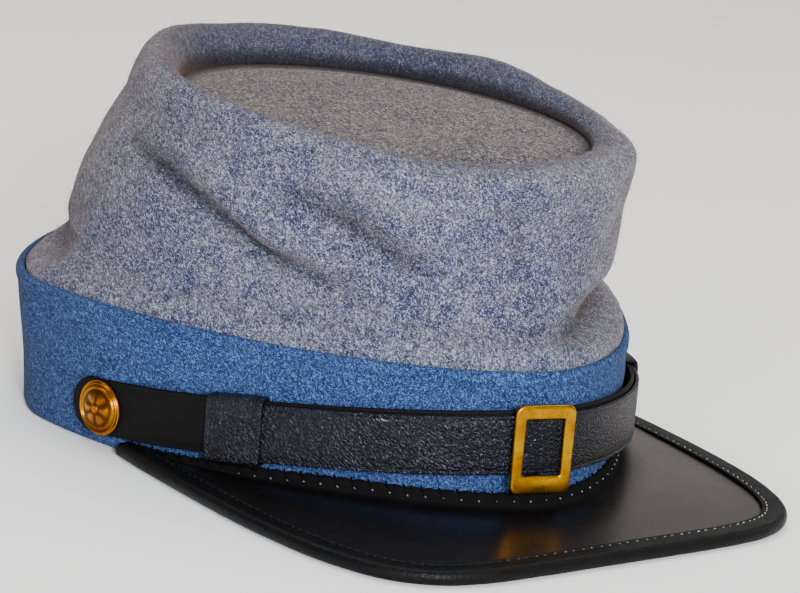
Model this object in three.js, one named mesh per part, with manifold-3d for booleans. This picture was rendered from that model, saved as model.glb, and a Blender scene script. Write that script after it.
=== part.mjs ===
// A kepi cap: soft slumped crown, cloth band, flat leather peak and a buckled chin strap.
// Millimetres, +Z up. The peak points along -Y and the wearer's left is +X. The cap stands on z = 0.
import * as THREE from 'three';
import Module from 'manifold-3d';

const manifoldLibrary = await Module();
manifoldLibrary.setup();

// Driving dimensions of the head band
const bandFrontReach = 124.6;
const bandRearReach = 77.8;
const bandSetback = 5.5;
const bandRightReach = 85;
const bandLeftReach = 82.5;
const bandFrontFlare = 1.6;
const bandRearFlare = 1.4;
const bandRightFlare = 4;
const bandLeftFlare = 3;
const bandHeight = 40;
const bandWall = 2.2;
const bandSwell = 0.6;
const bandFrontRoundness = 1.68;
const bandRearRoundness = 1.52;

// Driving dimensions of the crown
const crownWall = 2;
const crownTuck = 8;
const rimLength = 174;
const rimWidth = 125.5;
const rimHeight = 88;
const rimForward = 24;
const rimPitch = 0.005;
const rimRoundness = 2;
const crestHeight = 97.4;
const crestPitch = 0.079;
const crestWave = 2;
const topLength = 140.5;
const topWidth = 103.5;
const topHeight = 89;
const topForward = 27.8;
const topPitch = 0.026;
const topWall = 2;
const topCrown = 1.2;
const topSeam = 2;
const foldDepth = 4.5;
const foldWidth = 8;

// Driving dimensions of the peak
const peakRightReach = 81.4;
const peakLeftReach = 78.4;
const peakReach = 36;
const peakRootSetback = 231;
const peakCorner = 6;
const peakWall = 1.4;
const peakTipLap = 0.7;
const peakRootLift = 1.6;
const flangeHeight = 8;
const flangeTipHeight = 3.9;
const flangeWall = 1.3;
const bindingLap = 5;
const bindingWall = 0.9;
const bindingNose = 1.9;

// Driving dimensions of the chin strap and its fittings
const strapWidth = 15.5;
const strapWall = 1.2;
const strapEdge = 0.3;
const buttonHeight = 11.4;
const buttonTurn = 70.4;
const strapOverrun = 11;
const rearRise = 12;
const frontRise = 10.9;
const strapRisePower = 1.05;
const keeperWall = 0.9;
const keeperLength = 16;
const keeperRightTurn = -49.5;
const keeperLeftTurn = 50;
const strapTail = 2;
const buckleTurn = -6.1;
const buckleHang = 1.4;
const buckleWidth = 16.4;
const buckleHeight = 23.4;
const buckleRail = 2.9;
const buckleCrossRail = 3.8;
const buckleWall = 1.4;
const buckleCorner = 2.2;
const buckleBarWidth = 3;
const buckleBarWall = 0.9;
const buckleLegWall = 1.6;
const buttonRadius = 7.5;
const buttonDome = 2.6;
const buttonRim = 1.1;
const shankRadius = 1.5;
const studRadius = 2.9;
const studDome = 1.3;
const studTurn = 47;
const studLevel = 0.26;

// Small gap between pieces that meet, and the wider one under pieces laid on the band's curve
const seatGap = 0.3;
const strapGap = 0.5;

const ringColumns = 68;
const crownRowsPerStep = 2;
const rollSteps = 6;
const peakStations = 50;
const strapStations = 44;

// Sections of the crown's side from the band (level 0) to the rim (level 1).
// level: share of the rise from band to rim; taper: share of the way from the band's oval to the rim's;
// forward and pitch: shares of the rim's own.
const crownSections = [
  { level: 0.0, taperLength: 0.0, taperWidth: 0.0, forward: 0.0, pitch: 0.0 },
  { level: 0.08, taperLength: 0.12, taperWidth: 0.17, forward: 0.07, pitch: 0.3 },
  { level: 0.2, taperLength: 0.46, taperWidth: 0.42, forward: 0.18, pitch: 0.6 },
  { level: 0.37, taperLength: 0.7, taperWidth: 0.49, forward: 0.37, pitch: 0.8 },
  { level: 0.57, taperLength: 0.85, taperWidth: 0.54, forward: 0.6, pitch: 0.9 },
  { level: 0.8, taperLength: 0.96, taperWidth: 0.73, forward: 0.83, pitch: 1.0 },
  { level: 1.0, taperLength: 1.0, taperWidth: 1.0, forward: 1.0, pitch: 1.0 },
];

// Folds of the crown's side: each runs between two places given by turn (degrees from the front towards
// the wearer's left) and level; depth and width are shares of foldDepth and foldWidth.
const crownFolds = [
  { fromTurn: -104, fromLevel: 0.92, toTurn: -66, toLevel: 0.71, depth: 0.9, width: 1.0 },
  { fromTurn: -70, fromLevel: 0.74, toTurn: -37, toLevel: 0.37, depth: 1.0, width: 0.9 },
  { fromTurn: -54, fromLevel: 0.94, toTurn: -25, toLevel: 0.54, depth: 0.6, width: 0.9 },
  { fromTurn: -7, fromLevel: 0.98, toTurn: 0, toLevel: 0.56, depth: 0.5, width: 1.3 },
  { fromTurn: 56, fromLevel: 0.26, toTurn: 6, toLevel: 0.15, depth: 0.7, width: 0.7 },
  { fromTurn: 124, fromLevel: 0.8, toTurn: 62, toLevel: 0.4, depth: 0.8, width: 1.1 },
  { fromTurn: 172, fromLevel: 0.75, toTurn: 132, toLevel: 0.3, depth: 0.6, width: 1.2 },
  { fromTurn: -160, fromLevel: 0.7, toTurn: -126, toLevel: 0.35, depth: 0.45, width: 1.2 },
  { fromTurn: -100, fromLevel: 0.5, toTurn: -70, toLevel: 0.25, depth: -0.3, width: 1.6 },
  { fromTurn: -30, fromLevel: 0.75, toTurn: -12, toLevel: 0.5, depth: -0.3, width: 1.5 },
];

// Waves of the rim's crest round the cap: rise as a share of crestWave.
const crestWaves = [
  { turn: -180, rise: -0.8 },
  { turn: -140, rise: -0.4 },
  { turn: -60, rise: 0.0 },
  { turn: -24, rise: -1.0 },
  { turn: 10, rise: -0.4 },
  { turn: 50, rise: -0.9 },
  { turn: 84, rise: -0.4 },
  { turn: 104, rise: 0.65 },
  { turn: 134, rise: -1.0 },
  { turn: 156, rise: -0.6 },
  { turn: 180, rise: -0.8 },
];

// Outline of the band's outer face: height and swell as shares of bandHeight and bandSwell.
const bandSections = [
  { height: 0.0, swell: -0.4 },
  { height: 0.05, swell: 0.0 },
  { height: 0.45, swell: -0.7 },
  { height: 0.8, swell: 0.1 },
  { height: 0.93, swell: 1.0 },
  { height: 1.0, swell: 0.2 },
];

// How far each strap half stands off the band, in strap walls, at turns counted from the front.
const rearStrapOffsets = [
  { turn: -90, walls: 0.42 },
  { turn: -67, walls: 0.45 },
  { turn: -58.5, walls: 1.42 },
  { turn: -40, walls: 1.4 },
  { turn: -20, walls: 1.6 },
  { turn: 0, walls: 1.6 },
  { turn: 24, walls: 1.45 },
  { turn: 40, walls: 1.4 },
  { turn: 62, walls: 1.42 },
];
const frontStrapOffsets = [
  { turn: -66, walls: 2.7 },
  { turn: -40, walls: 2.68 },
  { turn: -20, walls: 2.87 },
  { turn: 0, walls: 2.87 },
  { turn: 24, walls: 2.72 },
  { turn: 40, walls: 2.68 },
  { turn: 58.5, walls: 2.7 },
  { turn: 67, walls: 0.45 },
  { turn: 90, walls: 0.42 },
];

const materials = {
  crownWool: new THREE.MeshStandardMaterial({ color: 0x8289a0, roughness: 0.95, metalness: 0 }),
  bandWool: new THREE.MeshStandardMaterial({ color: 0x3f6698, roughness: 0.95, metalness: 0 }),
  peakLeather: new THREE.MeshStandardMaterial({ color: 0x16161a, roughness: 0.3, metalness: 0 }),
  strapLeather: new THREE.MeshStandardMaterial({ color: 0x1b1b20, roughness: 0.5, metalness: 0 }),
  brass: new THREE.MeshStandardMaterial({ color: 0xc79a3a, roughness: 0.3, metalness: 1 }),
};

const inRadians = THREE.MathUtils.degToRad;
const blend = THREE.MathUtils.lerp;

// Point of an upright, pitched egg-shaped superellipse. Turn 0 is the front.
function ovalPoint(turn, oval) {
  const side = Math.sin(turn);
  const front = Math.cos(turn);
  const power = 2 / blend(oval.frontRoundness, oval.rearRoundness, (1 - front) / 2);
  const reach = (front < 0 ? oval.rearReach : oval.frontReach) * Math.sign(front) * Math.abs(front) ** power;
  return new THREE.Vector3(
    (side < 0 ? oval.rightReach : oval.leftReach) * Math.sign(side) * Math.abs(side) ** power,
    -oval.forward - reach,
    oval.height - oval.pitch * reach,
  );
}

// The band's outer oval at a height, pushed out by an outset.
function bandOval(height, outset) {
  const share = height / bandHeight;
  return {
    frontReach: bandFrontReach + bandFrontFlare * share + outset,
    rearReach: bandRearReach + bandRearFlare * share + outset,
    rightReach: bandRightReach + bandRightFlare * share + outset,
    leftReach: bandLeftReach + bandLeftFlare * share + outset,
    frontRoundness: bandFrontRoundness,
    rearRoundness: bandRearRoundness,
    forward: -bandSetback,
    height,
    pitch: 0,
  };
}

// Smooth curve through one column of a table, at a position counted in rows.
function alongRows(rows, column, position) {
  const last = rows.length - 1;
  const index = Math.min(Math.floor(position), last - 1);
  const share = position - index;
  const value = (row) => rows[Math.min(Math.max(row, 0), last)][column];
  const [before, start, end, after] = [value(index - 1), value(index), value(index + 1), value(index + 2)];
  const startSlope = (end - before) / 2;
  const endSlope = (after - start) / 2;
  const square = share * share;
  const cube = square * share;
  return (2 * cube - 3 * square + 1) * start + (cube - 2 * square + share) * startSlope
    + (3 * square - 2 * cube) * end + (cube - square) * endSlope;
}

// Value of a table's column where its key column has a given value, in smooth steps.
function lookUp(rows, key, column, at) {
  let index = 0;
  while (index < rows.length - 2 && at > rows[index + 1][key]) index += 1;
  const from = rows[index];
  const to = rows[index + 1];
  const share = THREE.MathUtils.clamp((at - from[key]) / (to[key] - from[key]), 0, 1);
  return blend(from[column], to[column], THREE.MathUtils.smoothstep(share, 0, 1));
}

// A closed mesh from points and faces, turned so that its faces point out.
function closedGeometry(points, faces) {
  let volume = 0;
  for (const [a, b, c] of faces) {
    volume += points[a].dot(points[b].clone().cross(points[c]));
  }
  const outward = volume > 0 ? faces : faces.map(([a, b, c]) => [a, c, b]);
  const geometry = new THREE.BufferGeometry().setFromPoints(points);
  geometry.setIndex(outward.flat());
  geometry.computeVertexNormals();
  return geometry;
}

// Rings joined one to the next, and the last to the first, around a hollow middle.
function shellFromRings(rings) {
  const columns = rings[0].length;
  const faces = [];
  rings.forEach((ring, row) => {
    const next = (row + 1) % rings.length;
    ring.forEach((_, column) => {
      const beside = (column + 1) % columns;
      const [a, b] = [row * columns + column, row * columns + beside];
      const [c, d] = [next * columns + column, next * columns + beside];
      faces.push([a, b, d], [a, d, c]);
    });
  });
  return closedGeometry(rings.flat(), faces);
}

// Rings joined one to the next, with the first and last closed by a middle point.
function discFromRings(rings, firstMiddle, lastMiddle) {
  const columns = rings[0].length;
  const points = [...rings.flat(), firstMiddle, lastMiddle];
  const firstIndex = points.length - 2;
  const lastRow = (rings.length - 1) * columns;
  const faces = [];
  for (let column = 0; column < columns; column += 1) {
    const beside = (column + 1) % columns;
    for (let row = 0; row < lastRow; row += columns) {
      const [a, b, c, d] = [row + column, row + beside, row + columns + column, row + columns + beside];
      faces.push([a, b, d], [a, d, c]);
    }
    faces.push([firstIndex, beside, column], [firstIndex + 1, lastRow + column, lastRow + beside]);
  }
  return closedGeometry(points, faces);
}

// A section carried along stations, with flat ends. Every station holds the section's points in order.
function sweptGeometry(stations, section) {
  const count = section.length;
  const faces = [];
  for (let station = 0; station < stations.length - 1; station += 1) {
    for (let corner = 0; corner < count; corner += 1) {
      const beside = (corner + 1) % count;
      const [a, b] = [station * count + corner, station * count + beside];
      const [c, d] = [a + count, b + count];
      faces.push([a, b, d], [a, d, c]);
    }
  }
  const last = (stations.length - 1) * count;
  for (const [a, b, c] of THREE.ShapeUtils.triangulateShape(section, [])) {
    faces.push(THREE.ShapeUtils.isClockWise(section) ? [a, b, c] : [a, c, b]);
    faces.push(THREE.ShapeUtils.isClockWise(section) ? [last + a, last + c, last + b] : [last + a, last + b, last + c]);
  }
  return closedGeometry(stations.flat(), faces);
}

function ringOf(oval) {
  return Array.from({ length: ringColumns }, (_, column) => ovalPoint(column / ringColumns * Math.PI * 2, oval));
}

// Solid of one geometry for joining and cutting, and back.
function toSolid(geometry) {
  const mesh = new manifoldLibrary.Mesh({
    numProp: 3,
    vertProperties: new Float32Array(geometry.attributes.position.array),
    triVerts: new Uint32Array(geometry.index.array),
  });
  mesh.merge();
  return new manifoldLibrary.Manifold(mesh);
}

function fromSolid(solid) {
  const mesh = solid.getMesh();
  const geometry = new THREE.BufferGeometry();
  geometry.setAttribute('position', new THREE.BufferAttribute(new Float32Array(mesh.vertProperties), 3));
  geometry.setIndex(new THREE.BufferAttribute(new Uint32Array(mesh.triVerts), 1));
  geometry.computeVertexNormals();
  return geometry;
}

// Band: a cloth wall round the head with a swollen hem at its top edge
function bandGeometry() {
  const outer = bandSections.map(({ height, swell }) => ringOf(bandOval(height * bandHeight, swell * bandSwell)));
  const inner = [bandHeight, 0].map((height) => ringOf(bandOval(height, -bandWall)));
  return shellFromRings([...outer, ...inner]);
}

// Crown side: the ovals of its outer face, from the hem tucked in the band to the seam of the top
function crownTableOval(position) {
  const at = (column) => alongRows(crownSections, column, position);
  const foot = bandOval(bandHeight, -bandWall - seatGap);
  return {
    frontReach: blend(foot.frontReach, rimLength / 2, at('taperLength')),
    rearReach: blend(foot.rearReach, rimLength / 2, at('taperLength')),
    rightReach: blend(foot.rightReach, rimWidth / 2, at('taperWidth')),
    leftReach: blend(foot.leftReach, rimWidth / 2, at('taperWidth')),
    frontRoundness: blend(bandFrontRoundness, rimRoundness, at('level')),
    rearRoundness: blend(bandRearRoundness, rimRoundness, at('level')),
    forward: blend(-bandSetback, rimForward, at('forward')),
    height: blend(bandHeight, rimHeight, at('level')),
    pitch: rimPitch * at('pitch'),
    level: at('level'),
    arch: 0,
    fold: 1,
  };
}

function topOval(inset, lift) {
  return {
    frontReach: topLength / 2 - inset,
    rearReach: topLength / 2 - inset,
    rightReach: topWidth / 2 - inset,
    leftReach: topWidth / 2 - inset,
    frontRoundness: rimRoundness,
    rearRoundness: rimRoundness,
    forward: topForward,
    height: topHeight + lift,
    pitch: topPitch,
  };
}

// The rim rolls over from its widest ring to the seam ring, half a turn.
function rollOval(share) {
  const seam = topOval(0, 0);
  const inward = (1 - Math.cos(share * Math.PI)) / 2;
  const arch = Math.sin(share * Math.PI);
  const lift = (crestHeight - Math.max(rimHeight, topHeight)) * arch;
  const reach = blend(rimLength / 2, seam.frontReach, inward);
  return {
    frontReach: reach,
    rearReach: reach,
    rightReach: blend(rimWidth / 2, seam.rightReach, inward),
    leftReach: blend(rimWidth / 2, seam.leftReach, inward),
    frontRoundness: rimRoundness,
    rearRoundness: rimRoundness,
    forward: blend(rimForward, topForward, inward),
    height: blend(rimHeight, topHeight + seatGap, inward) + lift,
    pitch: blend(blend(rimPitch, topPitch, inward), crestPitch, arch),
    level: 1,
    arch,
    fold: 1 - inward,
  };
}

function crownOvals() {
  const tuck = { ...bandOval(bandHeight - crownTuck, -bandWall - seatGap), level: -1 };
  const steps = (crownSections.length - 1) * crownRowsPerStep;
  const side = Array.from({ length: steps + 1 }, (_, step) => crownTableOval(step / crownRowsPerStep));
  const roll = Array.from({ length: rollSteps }, (_, step) => rollOval((step + 1) / rollSteps));
  return [tuck, ...side, ...roll];
}

// Depth of all folds at one place of the crown's side
function foldAt(turn, level) {
  const rise = rimHeight - bandHeight;
  const millimetresPerTurn = (rimLength + rimWidth) / 4;
  const place = new THREE.Vector3(turn * millimetresPerTurn, level * rise, 0);
  let depth = 0;
  for (const fold of crownFolds) {
    const start = new THREE.Vector3(inRadians(fold.fromTurn) * millimetresPerTurn, fold.fromLevel * rise, 0);
    const end = new THREE.Vector3(inRadians(fold.toTurn) * millimetresPerTurn, fold.toLevel * rise, 0);
    const run = new THREE.Line3(start, end);
    const share = run.closestPointToPointParameter(place, true);
    const distance = run.at(share, new THREE.Vector3()).distanceTo(place) / (fold.width * foldWidth);
    depth += fold.depth * foldDepth * Math.exp(-distance * distance) * Math.sin(Math.PI * (0.1 + 0.8 * share));
  }
  return depth;
}

function crownPoint(turn, oval) {
  const point = ovalPoint(turn, oval);
  if (oval.level < 0) return point;
  const signedTurn = turn > Math.PI ? turn - Math.PI * 2 : turn;
  const outward = new THREE.Vector3(point.x, point.y + oval.forward, 0).normalize();
  const hold = THREE.MathUtils.smoothstep(oval.level, 0, 0.1) * oval.fold;
  point.z += crestWave * lookUp(crestWaves, 'turn', 'rise', THREE.MathUtils.radToDeg(signedTurn)) * oval.arch;
  return point.addScaledVector(outward, -foldAt(signedTurn, oval.level) * hold);
}

// The same rings one wall further in, measured square to the cloth
function insetRings(rings, wall) {
  return rings.map((ring, row) => ring.map((point, column) => {
    const count = ring.length;
    const below = rings[Math.max(row - 1, 0)][column];
    const above = rings[Math.min(row + 1, rings.length - 1)][column];
    const beside = ring[(column + 1) % count].clone().sub(ring[(column + count - 1) % count]);
    const outward = beside.cross(above.clone().sub(below));
    if (row === 0 || row === rings.length - 1) outward.z = 0;
    return point.clone().addScaledVector(outward.normalize(), -wall);
  }));
}

function crownSideGeometry() {
  const outer = crownOvals().map((oval) => Array.from(
    { length: ringColumns },
    (_, column) => crownPoint(column / ringColumns * Math.PI * 2, oval),
  ));
  return shellFromRings([...outer, ...insetRings(outer, crownWall).reverse()]);
}

// Crown top: a slightly domed disc whose seam edge lies under the rolled rim
function crownTopGeometry() {
  const ring = (inset, lift) => ringOf(topOval(inset, lift));
  const middle = (lift) => new THREE.Vector3(0, -topForward, topHeight + topCrown + lift);
  const shoulder = topWidth / 6;
  const rings = [
    ring(shoulder, topCrown * 0.7),
    ring(-topSeam, 0),
    ring(-topSeam, -topWall),
    ring(shoulder, topCrown * 0.7 - topWall),
  ];
  return discFromRings(rings, middle(0), middle(-topWall));
}

// Peak: points of its free edge, evenly spaced, from the wearer's right tip to the left one, each with the
// way out, the lap that the binding has room for, and the turn of the band beside it
const flangeOutset = strapGap + flangeWall;

const bandFeet = Array.from({ length: 721 }, (_, step) => {
  const turn = blend(-Math.PI / 2, Math.PI / 2, step / 720);
  return { turn, foot: ovalPoint(turn, bandOval(0, flangeOutset)) };
});

function besideBand(point) {
  let best = { room: Infinity, turn: 0 };
  for (const { turn, foot } of bandFeet) {
    const room = Math.hypot(foot.x - point.x, foot.y - point.y);
    if (room < best.room) best = { room, turn, outside: point.length() > Math.hypot(foot.x, foot.y) };
  }
  return best.outside ? best : { room: 0, turn: best.turn };
}

function peakOutline() {
  const bandFront = bandFrontReach - bandSetback;
  const rootLine = bandFront - peakRootSetback;
  const frontLine = bandFront + peakReach;
  const power = 2 / peakCorner;
  const samples = 3000;
  const least = bindingNose + seatGap + peakTipLap;
  const free = Array.from({ length: samples + 1 }, (_, sample) => {
    const turn = blend(-1, 1, sample / samples) * inRadians(88);
    const sideReach = turn < 0 ? peakRightReach : peakLeftReach;
    const x = sideReach * Math.sign(turn) * Math.abs(Math.sin(turn)) ** power;
    const y = -rootLine - (frontLine - rootLine) * Math.cos(turn) ** power;
    return new THREE.Vector2(x, y);
  }).filter((point) => besideBand(point).room > least && point.y < 0);
  const lengths = [0];
  free.forEach((point, index) => {
    if (index > 0) lengths.push(lengths[index - 1] + point.distanceTo(free[index - 1]));
  });
  const total = lengths[lengths.length - 1];
  return Array.from({ length: peakStations + 1 }, (_, station) => {
    const wanted = station / peakStations * total;
    const index = Math.min(lengths.findIndex((length) => length >= wanted - 1e-9), free.length - 2);
    const along = free[index + 1].clone().sub(free[Math.max(index - 1, 0)]).normalize();
    const { room, turn } = besideBand(free[index]);
    const lap = Math.min(bindingLap, room - bindingNose - seatGap);
    return { point: free[index], outward: new THREE.Vector2(along.y, -along.x), lap, turn };
  });
}

const peakBottom = bindingWall + seatGap;
const peakTop = peakBottom + peakWall;

// Section of the peak: the flange stands against the band, the plate runs out to the free edge.
function peakGeometry() {
  const plateShares = [0.33, 0.67, 1];
  const section = [
    [0, peakBottom], [0, flangeHeight], [flangeWall, flangeHeight], [flangeWall, peakTop],
    ...plateShares.map((share) => [flangeWall + share * peakReach, peakTop]),
    ...plateShares.map((share) => [flangeWall + share * peakReach, peakBottom]).reverse(),
  ].map(([across, height]) => new THREE.Vector2(across, height));
  const outline = peakOutline();
  const startTurn = outline[0].turn;
  const endTurn = outline[outline.length - 1].turn;
  const stations = outline.map(({ point, outward }, station) => {
    const turn = blend(startTurn, endTurn, station / peakStations);
    const taper = THREE.MathUtils.smoothstep(Math.abs(turn), inRadians(32), inRadians(66));
    const flangeTop = blend(flangeHeight, flangeTipHeight, taper);
    const lift = peakRootLift * (1 - taper);
    const inner = ovalPoint(turn, bandOval(0, strapGap));
    const flangeFoot = ovalPoint(turn, bandOval(0, flangeOutset));
    const edge = new THREE.Vector3(point.x, point.y, 0).addScaledVector(new THREE.Vector3(outward.x, outward.y, 0), -bindingNose);
    const at = (start, share, height) => start.clone().lerp(edge, share).setZ(height + lift * Math.max(0.67 - share, 0) / 0.67);
    return [
      at(inner, 0, peakBottom), at(inner, 0, flangeTop - lift), at(flangeFoot, 0, flangeTop - lift),
      at(flangeFoot, 0, peakTop),
      ...plateShares.map((share) => at(flangeFoot, share, peakTop)),
      ...plateShares.map((share) => at(flangeFoot, share, peakBottom)).reverse(),
    ];
  });
  return sweptGeometry(stations, section);
}

// Section of the binding: a strip folded round the peak's free edge, with a rounded nose
function bindingGeometry() {
  const slot = seatGap;
  const top = peakTop + seatGap + bindingWall;
  const noseTurns = [0.5, 0.3, 0.1, -0.1, -0.3, -0.5];
  const sectionAt = (lap) => [
    ...noseTurns.map((turn) => [
      slot + (bindingNose - slot) * Math.cos(turn * Math.PI),
      top / 2 + top / 2 * Math.sin(turn * Math.PI),
    ]),
    [-lap, 0], [-lap, bindingWall], [slot, bindingWall],
    [slot, top - bindingWall], [-lap, top - bindingWall], [-lap, top],
  ].map(([across, height]) => new THREE.Vector2(across, height));
  const stations = peakOutline().map(({ point, outward, lap }) => sectionAt(lap).map(({ x, y }) => new THREE.Vector3(
    point.x + outward.x * (x - bindingNose),
    point.y + outward.y * (x - bindingNose),
    y,
  )));
  return sweptGeometry(stations, sectionAt(bindingLap));
}

// Frame of the chin strap at a turn: where its inner face's middle is, which way is out, and which way is on
function strapPlace(turn, offsets, rise) {
  const share = Math.max(Math.cos(turn / inRadians(buttonTurn) * Math.PI / 2), 0);
  const height = buttonHeight + rise * share ** strapRisePower;
  const outset = strapWall * lookUp(offsets, 'turn', 'walls', THREE.MathUtils.radToDeg(turn));
  const oval = bandOval(height, 0);
  const step = 0.01;
  const along = ovalPoint(turn + step, oval).sub(ovalPoint(turn - step, oval)).normalize();
  const outward = new THREE.Vector3(along.y, -along.x, 0);
  const point = ovalPoint(turn, oval).addScaledVector(outward, outset);
  return { point, along, outward };
}

// Turn at which a distance has been covered along the band from a start turn
function turnAfter(startTurn, distance) {
  const step = Math.sign(distance) * 0.002;
  const oval = bandOval(buttonHeight, strapWall);
  let turn = startTurn;
  let covered = 0;
  while (covered < Math.abs(distance)) {
    covered += ovalPoint(turn, oval).distanceTo(ovalPoint(turn + step, oval));
    turn += step;
  }
  return turn;
}

// One strap half between two turns. Its ends are rounded over the strap's half width where they show.
function strapGeometry(startTurn, endTurn, offsets, rise, roundStart, roundEnd) {
  const half = strapWidth / 2;
  const section = [
    [0, -half], [strapWall - strapEdge, -half], [strapWall, strapEdge - half],
    [strapWall, half - strapEdge], [strapWall - strapEdge, half], [0, half],
  ].map(([across, height]) => new THREE.Vector2(across, height));
  const roundLength = half * 0.9;
  const roundedPlaces = (from, inwardSign) => [0, 0.12, 0.3, 0.6, 1].map((share) => ({
    turn: turnAfter(from, inwardSign * roundLength * share),
    width: Math.max(Math.sqrt(1 - (1 - share) ** 2), 0.3),
  }));
  const first = roundStart ? roundedPlaces(startTurn, 1) : [{ turn: startTurn, width: 1 }];
  const last = roundEnd ? roundedPlaces(endTurn, -1).reverse() : [{ turn: endTurn, width: 1 }];
  const middle = Array.from({ length: strapStations - 1 }, (_, station) => ({
    turn: blend(first[first.length - 1].turn, last[0].turn, (station + 1) / strapStations),
    width: 1,
  }));
  const stations = [...first, ...middle, ...last].map(({ turn, width }) => {
    const { point, outward } = strapPlace(turn, offsets, rise);
    return section.map(({ x, y }) => point.clone().addScaledVector(outward, x).add(new THREE.Vector3(0, 0, y * width)));
  });
  return sweptGeometry(stations, section);
}

// Local frame on the strap: x along it, y up, z out
function strapFrame(turn, offsets, rise) {
  const { point, along, outward } = strapPlace(turn, offsets, rise);
  const flatAlong = new THREE.Vector3(along.x, along.y, 0).normalize();
  const up = new THREE.Vector3(0, 0, 1);
  return new THREE.Matrix4().makeBasis(flatAlong, up, outward).setPosition(point);
}

// Keeper: a leather loop round both strap halves, bent along the strap
function keeperGeometry(centreTurn) {
  const stationCount = 4;
  const half = strapWidth / 2 + seatGap;
  const loop = (grow, inward, outwardReach) => [
    [-inward, -half - grow], [outwardReach, -half - grow], [outwardReach, half + grow], [-inward, half + grow],
  ];
  const stations = Array.from({ length: stationCount + 1 }, (_, station) => {
    const turn = turnAfter(inRadians(centreTurn), (station / stationCount - 0.5) * keeperLength);
    const rear = strapPlace(turn, rearStrapOffsets, rearRise);
    const front = strapPlace(turn, frontStrapOffsets, frontRise);
    const stack = front.point.clone().sub(rear.point).dot(rear.outward) + strapWall;
    const middle = (rear.point.z + front.point.z) / 2;
    const slack = Math.abs(rear.point.z - front.point.z) / 2;
    const place = ([across, height]) => rear.point.clone().addScaledVector(rear.outward, across)
      .setZ(middle + height + Math.sign(height) * slack);
    const inner = loop(0, seatGap, stack + seatGap).map(place);
    const outer = loop(keeperWall, seatGap + keeperWall, stack + seatGap + keeperWall).map(place);
    return { inner, outer };
  });
  const rings = [...stations.map(({ outer }) => outer), ...stations.map(({ inner }) => inner).reverse()];
  return shellFromRings(rings);
}

function roundedRectangle(width, height, corner) {
  const shape = new THREE.Shape();
  const [x, y] = [width / 2, height / 2];
  shape.moveTo(-x + corner, -y);
  shape.lineTo(x - corner, -y);
  shape.absarc(x - corner, -y + corner, corner, -Math.PI / 2, 0);
  shape.absarc(x - corner, y - corner, corner, 0, Math.PI / 2);
  shape.absarc(-x + corner, y - corner, corner, Math.PI / 2, Math.PI);
  shape.absarc(-x + corner, -y + corner, corner, Math.PI, Math.PI * 1.5);
  return shape;
}

function boxBetween(low, high) {
  const size = high.clone().sub(low);
  const geometry = new THREE.BoxGeometry(size.x, size.y, size.z);
  geometry.translate(...low.clone().add(high).multiplyScalar(0.5).toArray());
  return mergedPositions(geometry);
}

function mergedPositions(geometry) {
  const positions = geometry.attributes.position;
  const keys = new Map();
  const points = [];
  const remap = Array.from({ length: positions.count }, (_, index) => {
    const point = new THREE.Vector3().fromBufferAttribute(positions, index);
    const key = point.toArray().map((value) => value.toFixed(4)).join(' ');
    if (!keys.has(key)) {
      keys.set(key, points.length);
      points.push(point);
    }
    return keys.get(key);
  });
  const corners = geometry.index ? Array.from(geometry.index.array) : remap.map((_, index) => index);
  const faces = [];
  for (let corner = 0; corner < corners.length; corner += 3) {
    const face = corners.slice(corner, corner + 3).map((index) => remap[index]);
    if (new Set(face).size === 3) faces.push(face);
  }
  return closedGeometry(points, faces);
}

// Buckle: a flat frame in front of the straps, and a bar behind them held by two legs
function buckleGeometry() {
  const turn = inRadians(buckleTurn);
  const rear = strapPlace(turn, rearStrapOffsets, rearRise);
  const front = strapPlace(turn, frontStrapOffsets, frontRise);
  const stack = front.point.clone().sub(rear.point).dot(rear.outward) + strapWall;
  const lift = (rear.point.z - front.point.z) / 2;
  const face = stack + strapGap;
  const shape = roundedRectangle(buckleWidth, buckleHeight, buckleCorner);
  const window = roundedRectangle(buckleWidth - buckleRail * 2, buckleHeight - buckleCrossRail * 2, buckleCorner / 4);
  shape.holes.push(window);
  const frame = new THREE.ExtrudeGeometry(shape, { depth: buckleWall, bevelEnabled: false, curveSegments: 4 });
  frame.translate(0, -buckleHang, face);
  const corner = (x, y, z) => new THREE.Vector3(x, y, z);
  const legFoot = strapWidth / 2 + Math.abs(lift) + seatGap;
  const legReach = legFoot + buckleLegWall;
  const barFloor = -seatGap - buckleBarWall;
  const bar = boxBetween(
    corner(-buckleBarWidth / 2, -legReach, barFloor), corner(buckleBarWidth / 2, legReach, -seatGap),
  );
  const legs = [-1, 1].map((side) => boxBetween(
    corner(-buckleBarWidth / 2, side > 0 ? legFoot : -legReach, barFloor),
    corner(buckleBarWidth / 2, side > 0 ? legReach : -legFoot, face + buckleWall / 2),
  ));
  const joined = [bar, ...legs].reduce((solid, piece) => solid.add(toSolid(piece)), toSolid(mergedPositions(frame)));
  const geometry = fromSolid(joined);
  const place = strapFrame(turn, rearStrapOffsets, rearRise);
  return geometry.applyMatrix4(place.multiply(new THREE.Matrix4().makeTranslation(0, -lift, 0)));
}

// Lathe turned round +Z from a profile of radius and height
function turnedGeometry(profile, segments) {
  const geometry = new THREE.LatheGeometry(profile.map(([radius, height]) => new THREE.Vector2(radius, height)), segments);
  geometry.rotateX(Math.PI / 2);
  return mergedPositions(geometry);
}

// Button: a domed face with a rolled rim, on a plain shank that passes through the strap's end
function buttonGeometry() {
  const shankEnd = -strapWall - seatGap + 0.1;
  const profile = [
    [0, shankEnd], [shankRadius, shankEnd], [shankRadius, seatGap], [buttonRadius - buttonRim, seatGap],
    [buttonRadius, seatGap + buttonRim / 2], [buttonRadius - 0.1, seatGap + buttonRim],
    [buttonRadius - buttonRim, seatGap + buttonRim], [buttonRadius * 0.75, seatGap + buttonRim * 1.3],
    [buttonRadius * 0.4, seatGap + buttonDome * 0.92], [0, seatGap + buttonDome],
  ];
  return turnedGeometry(profile, 20);
}

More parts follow.
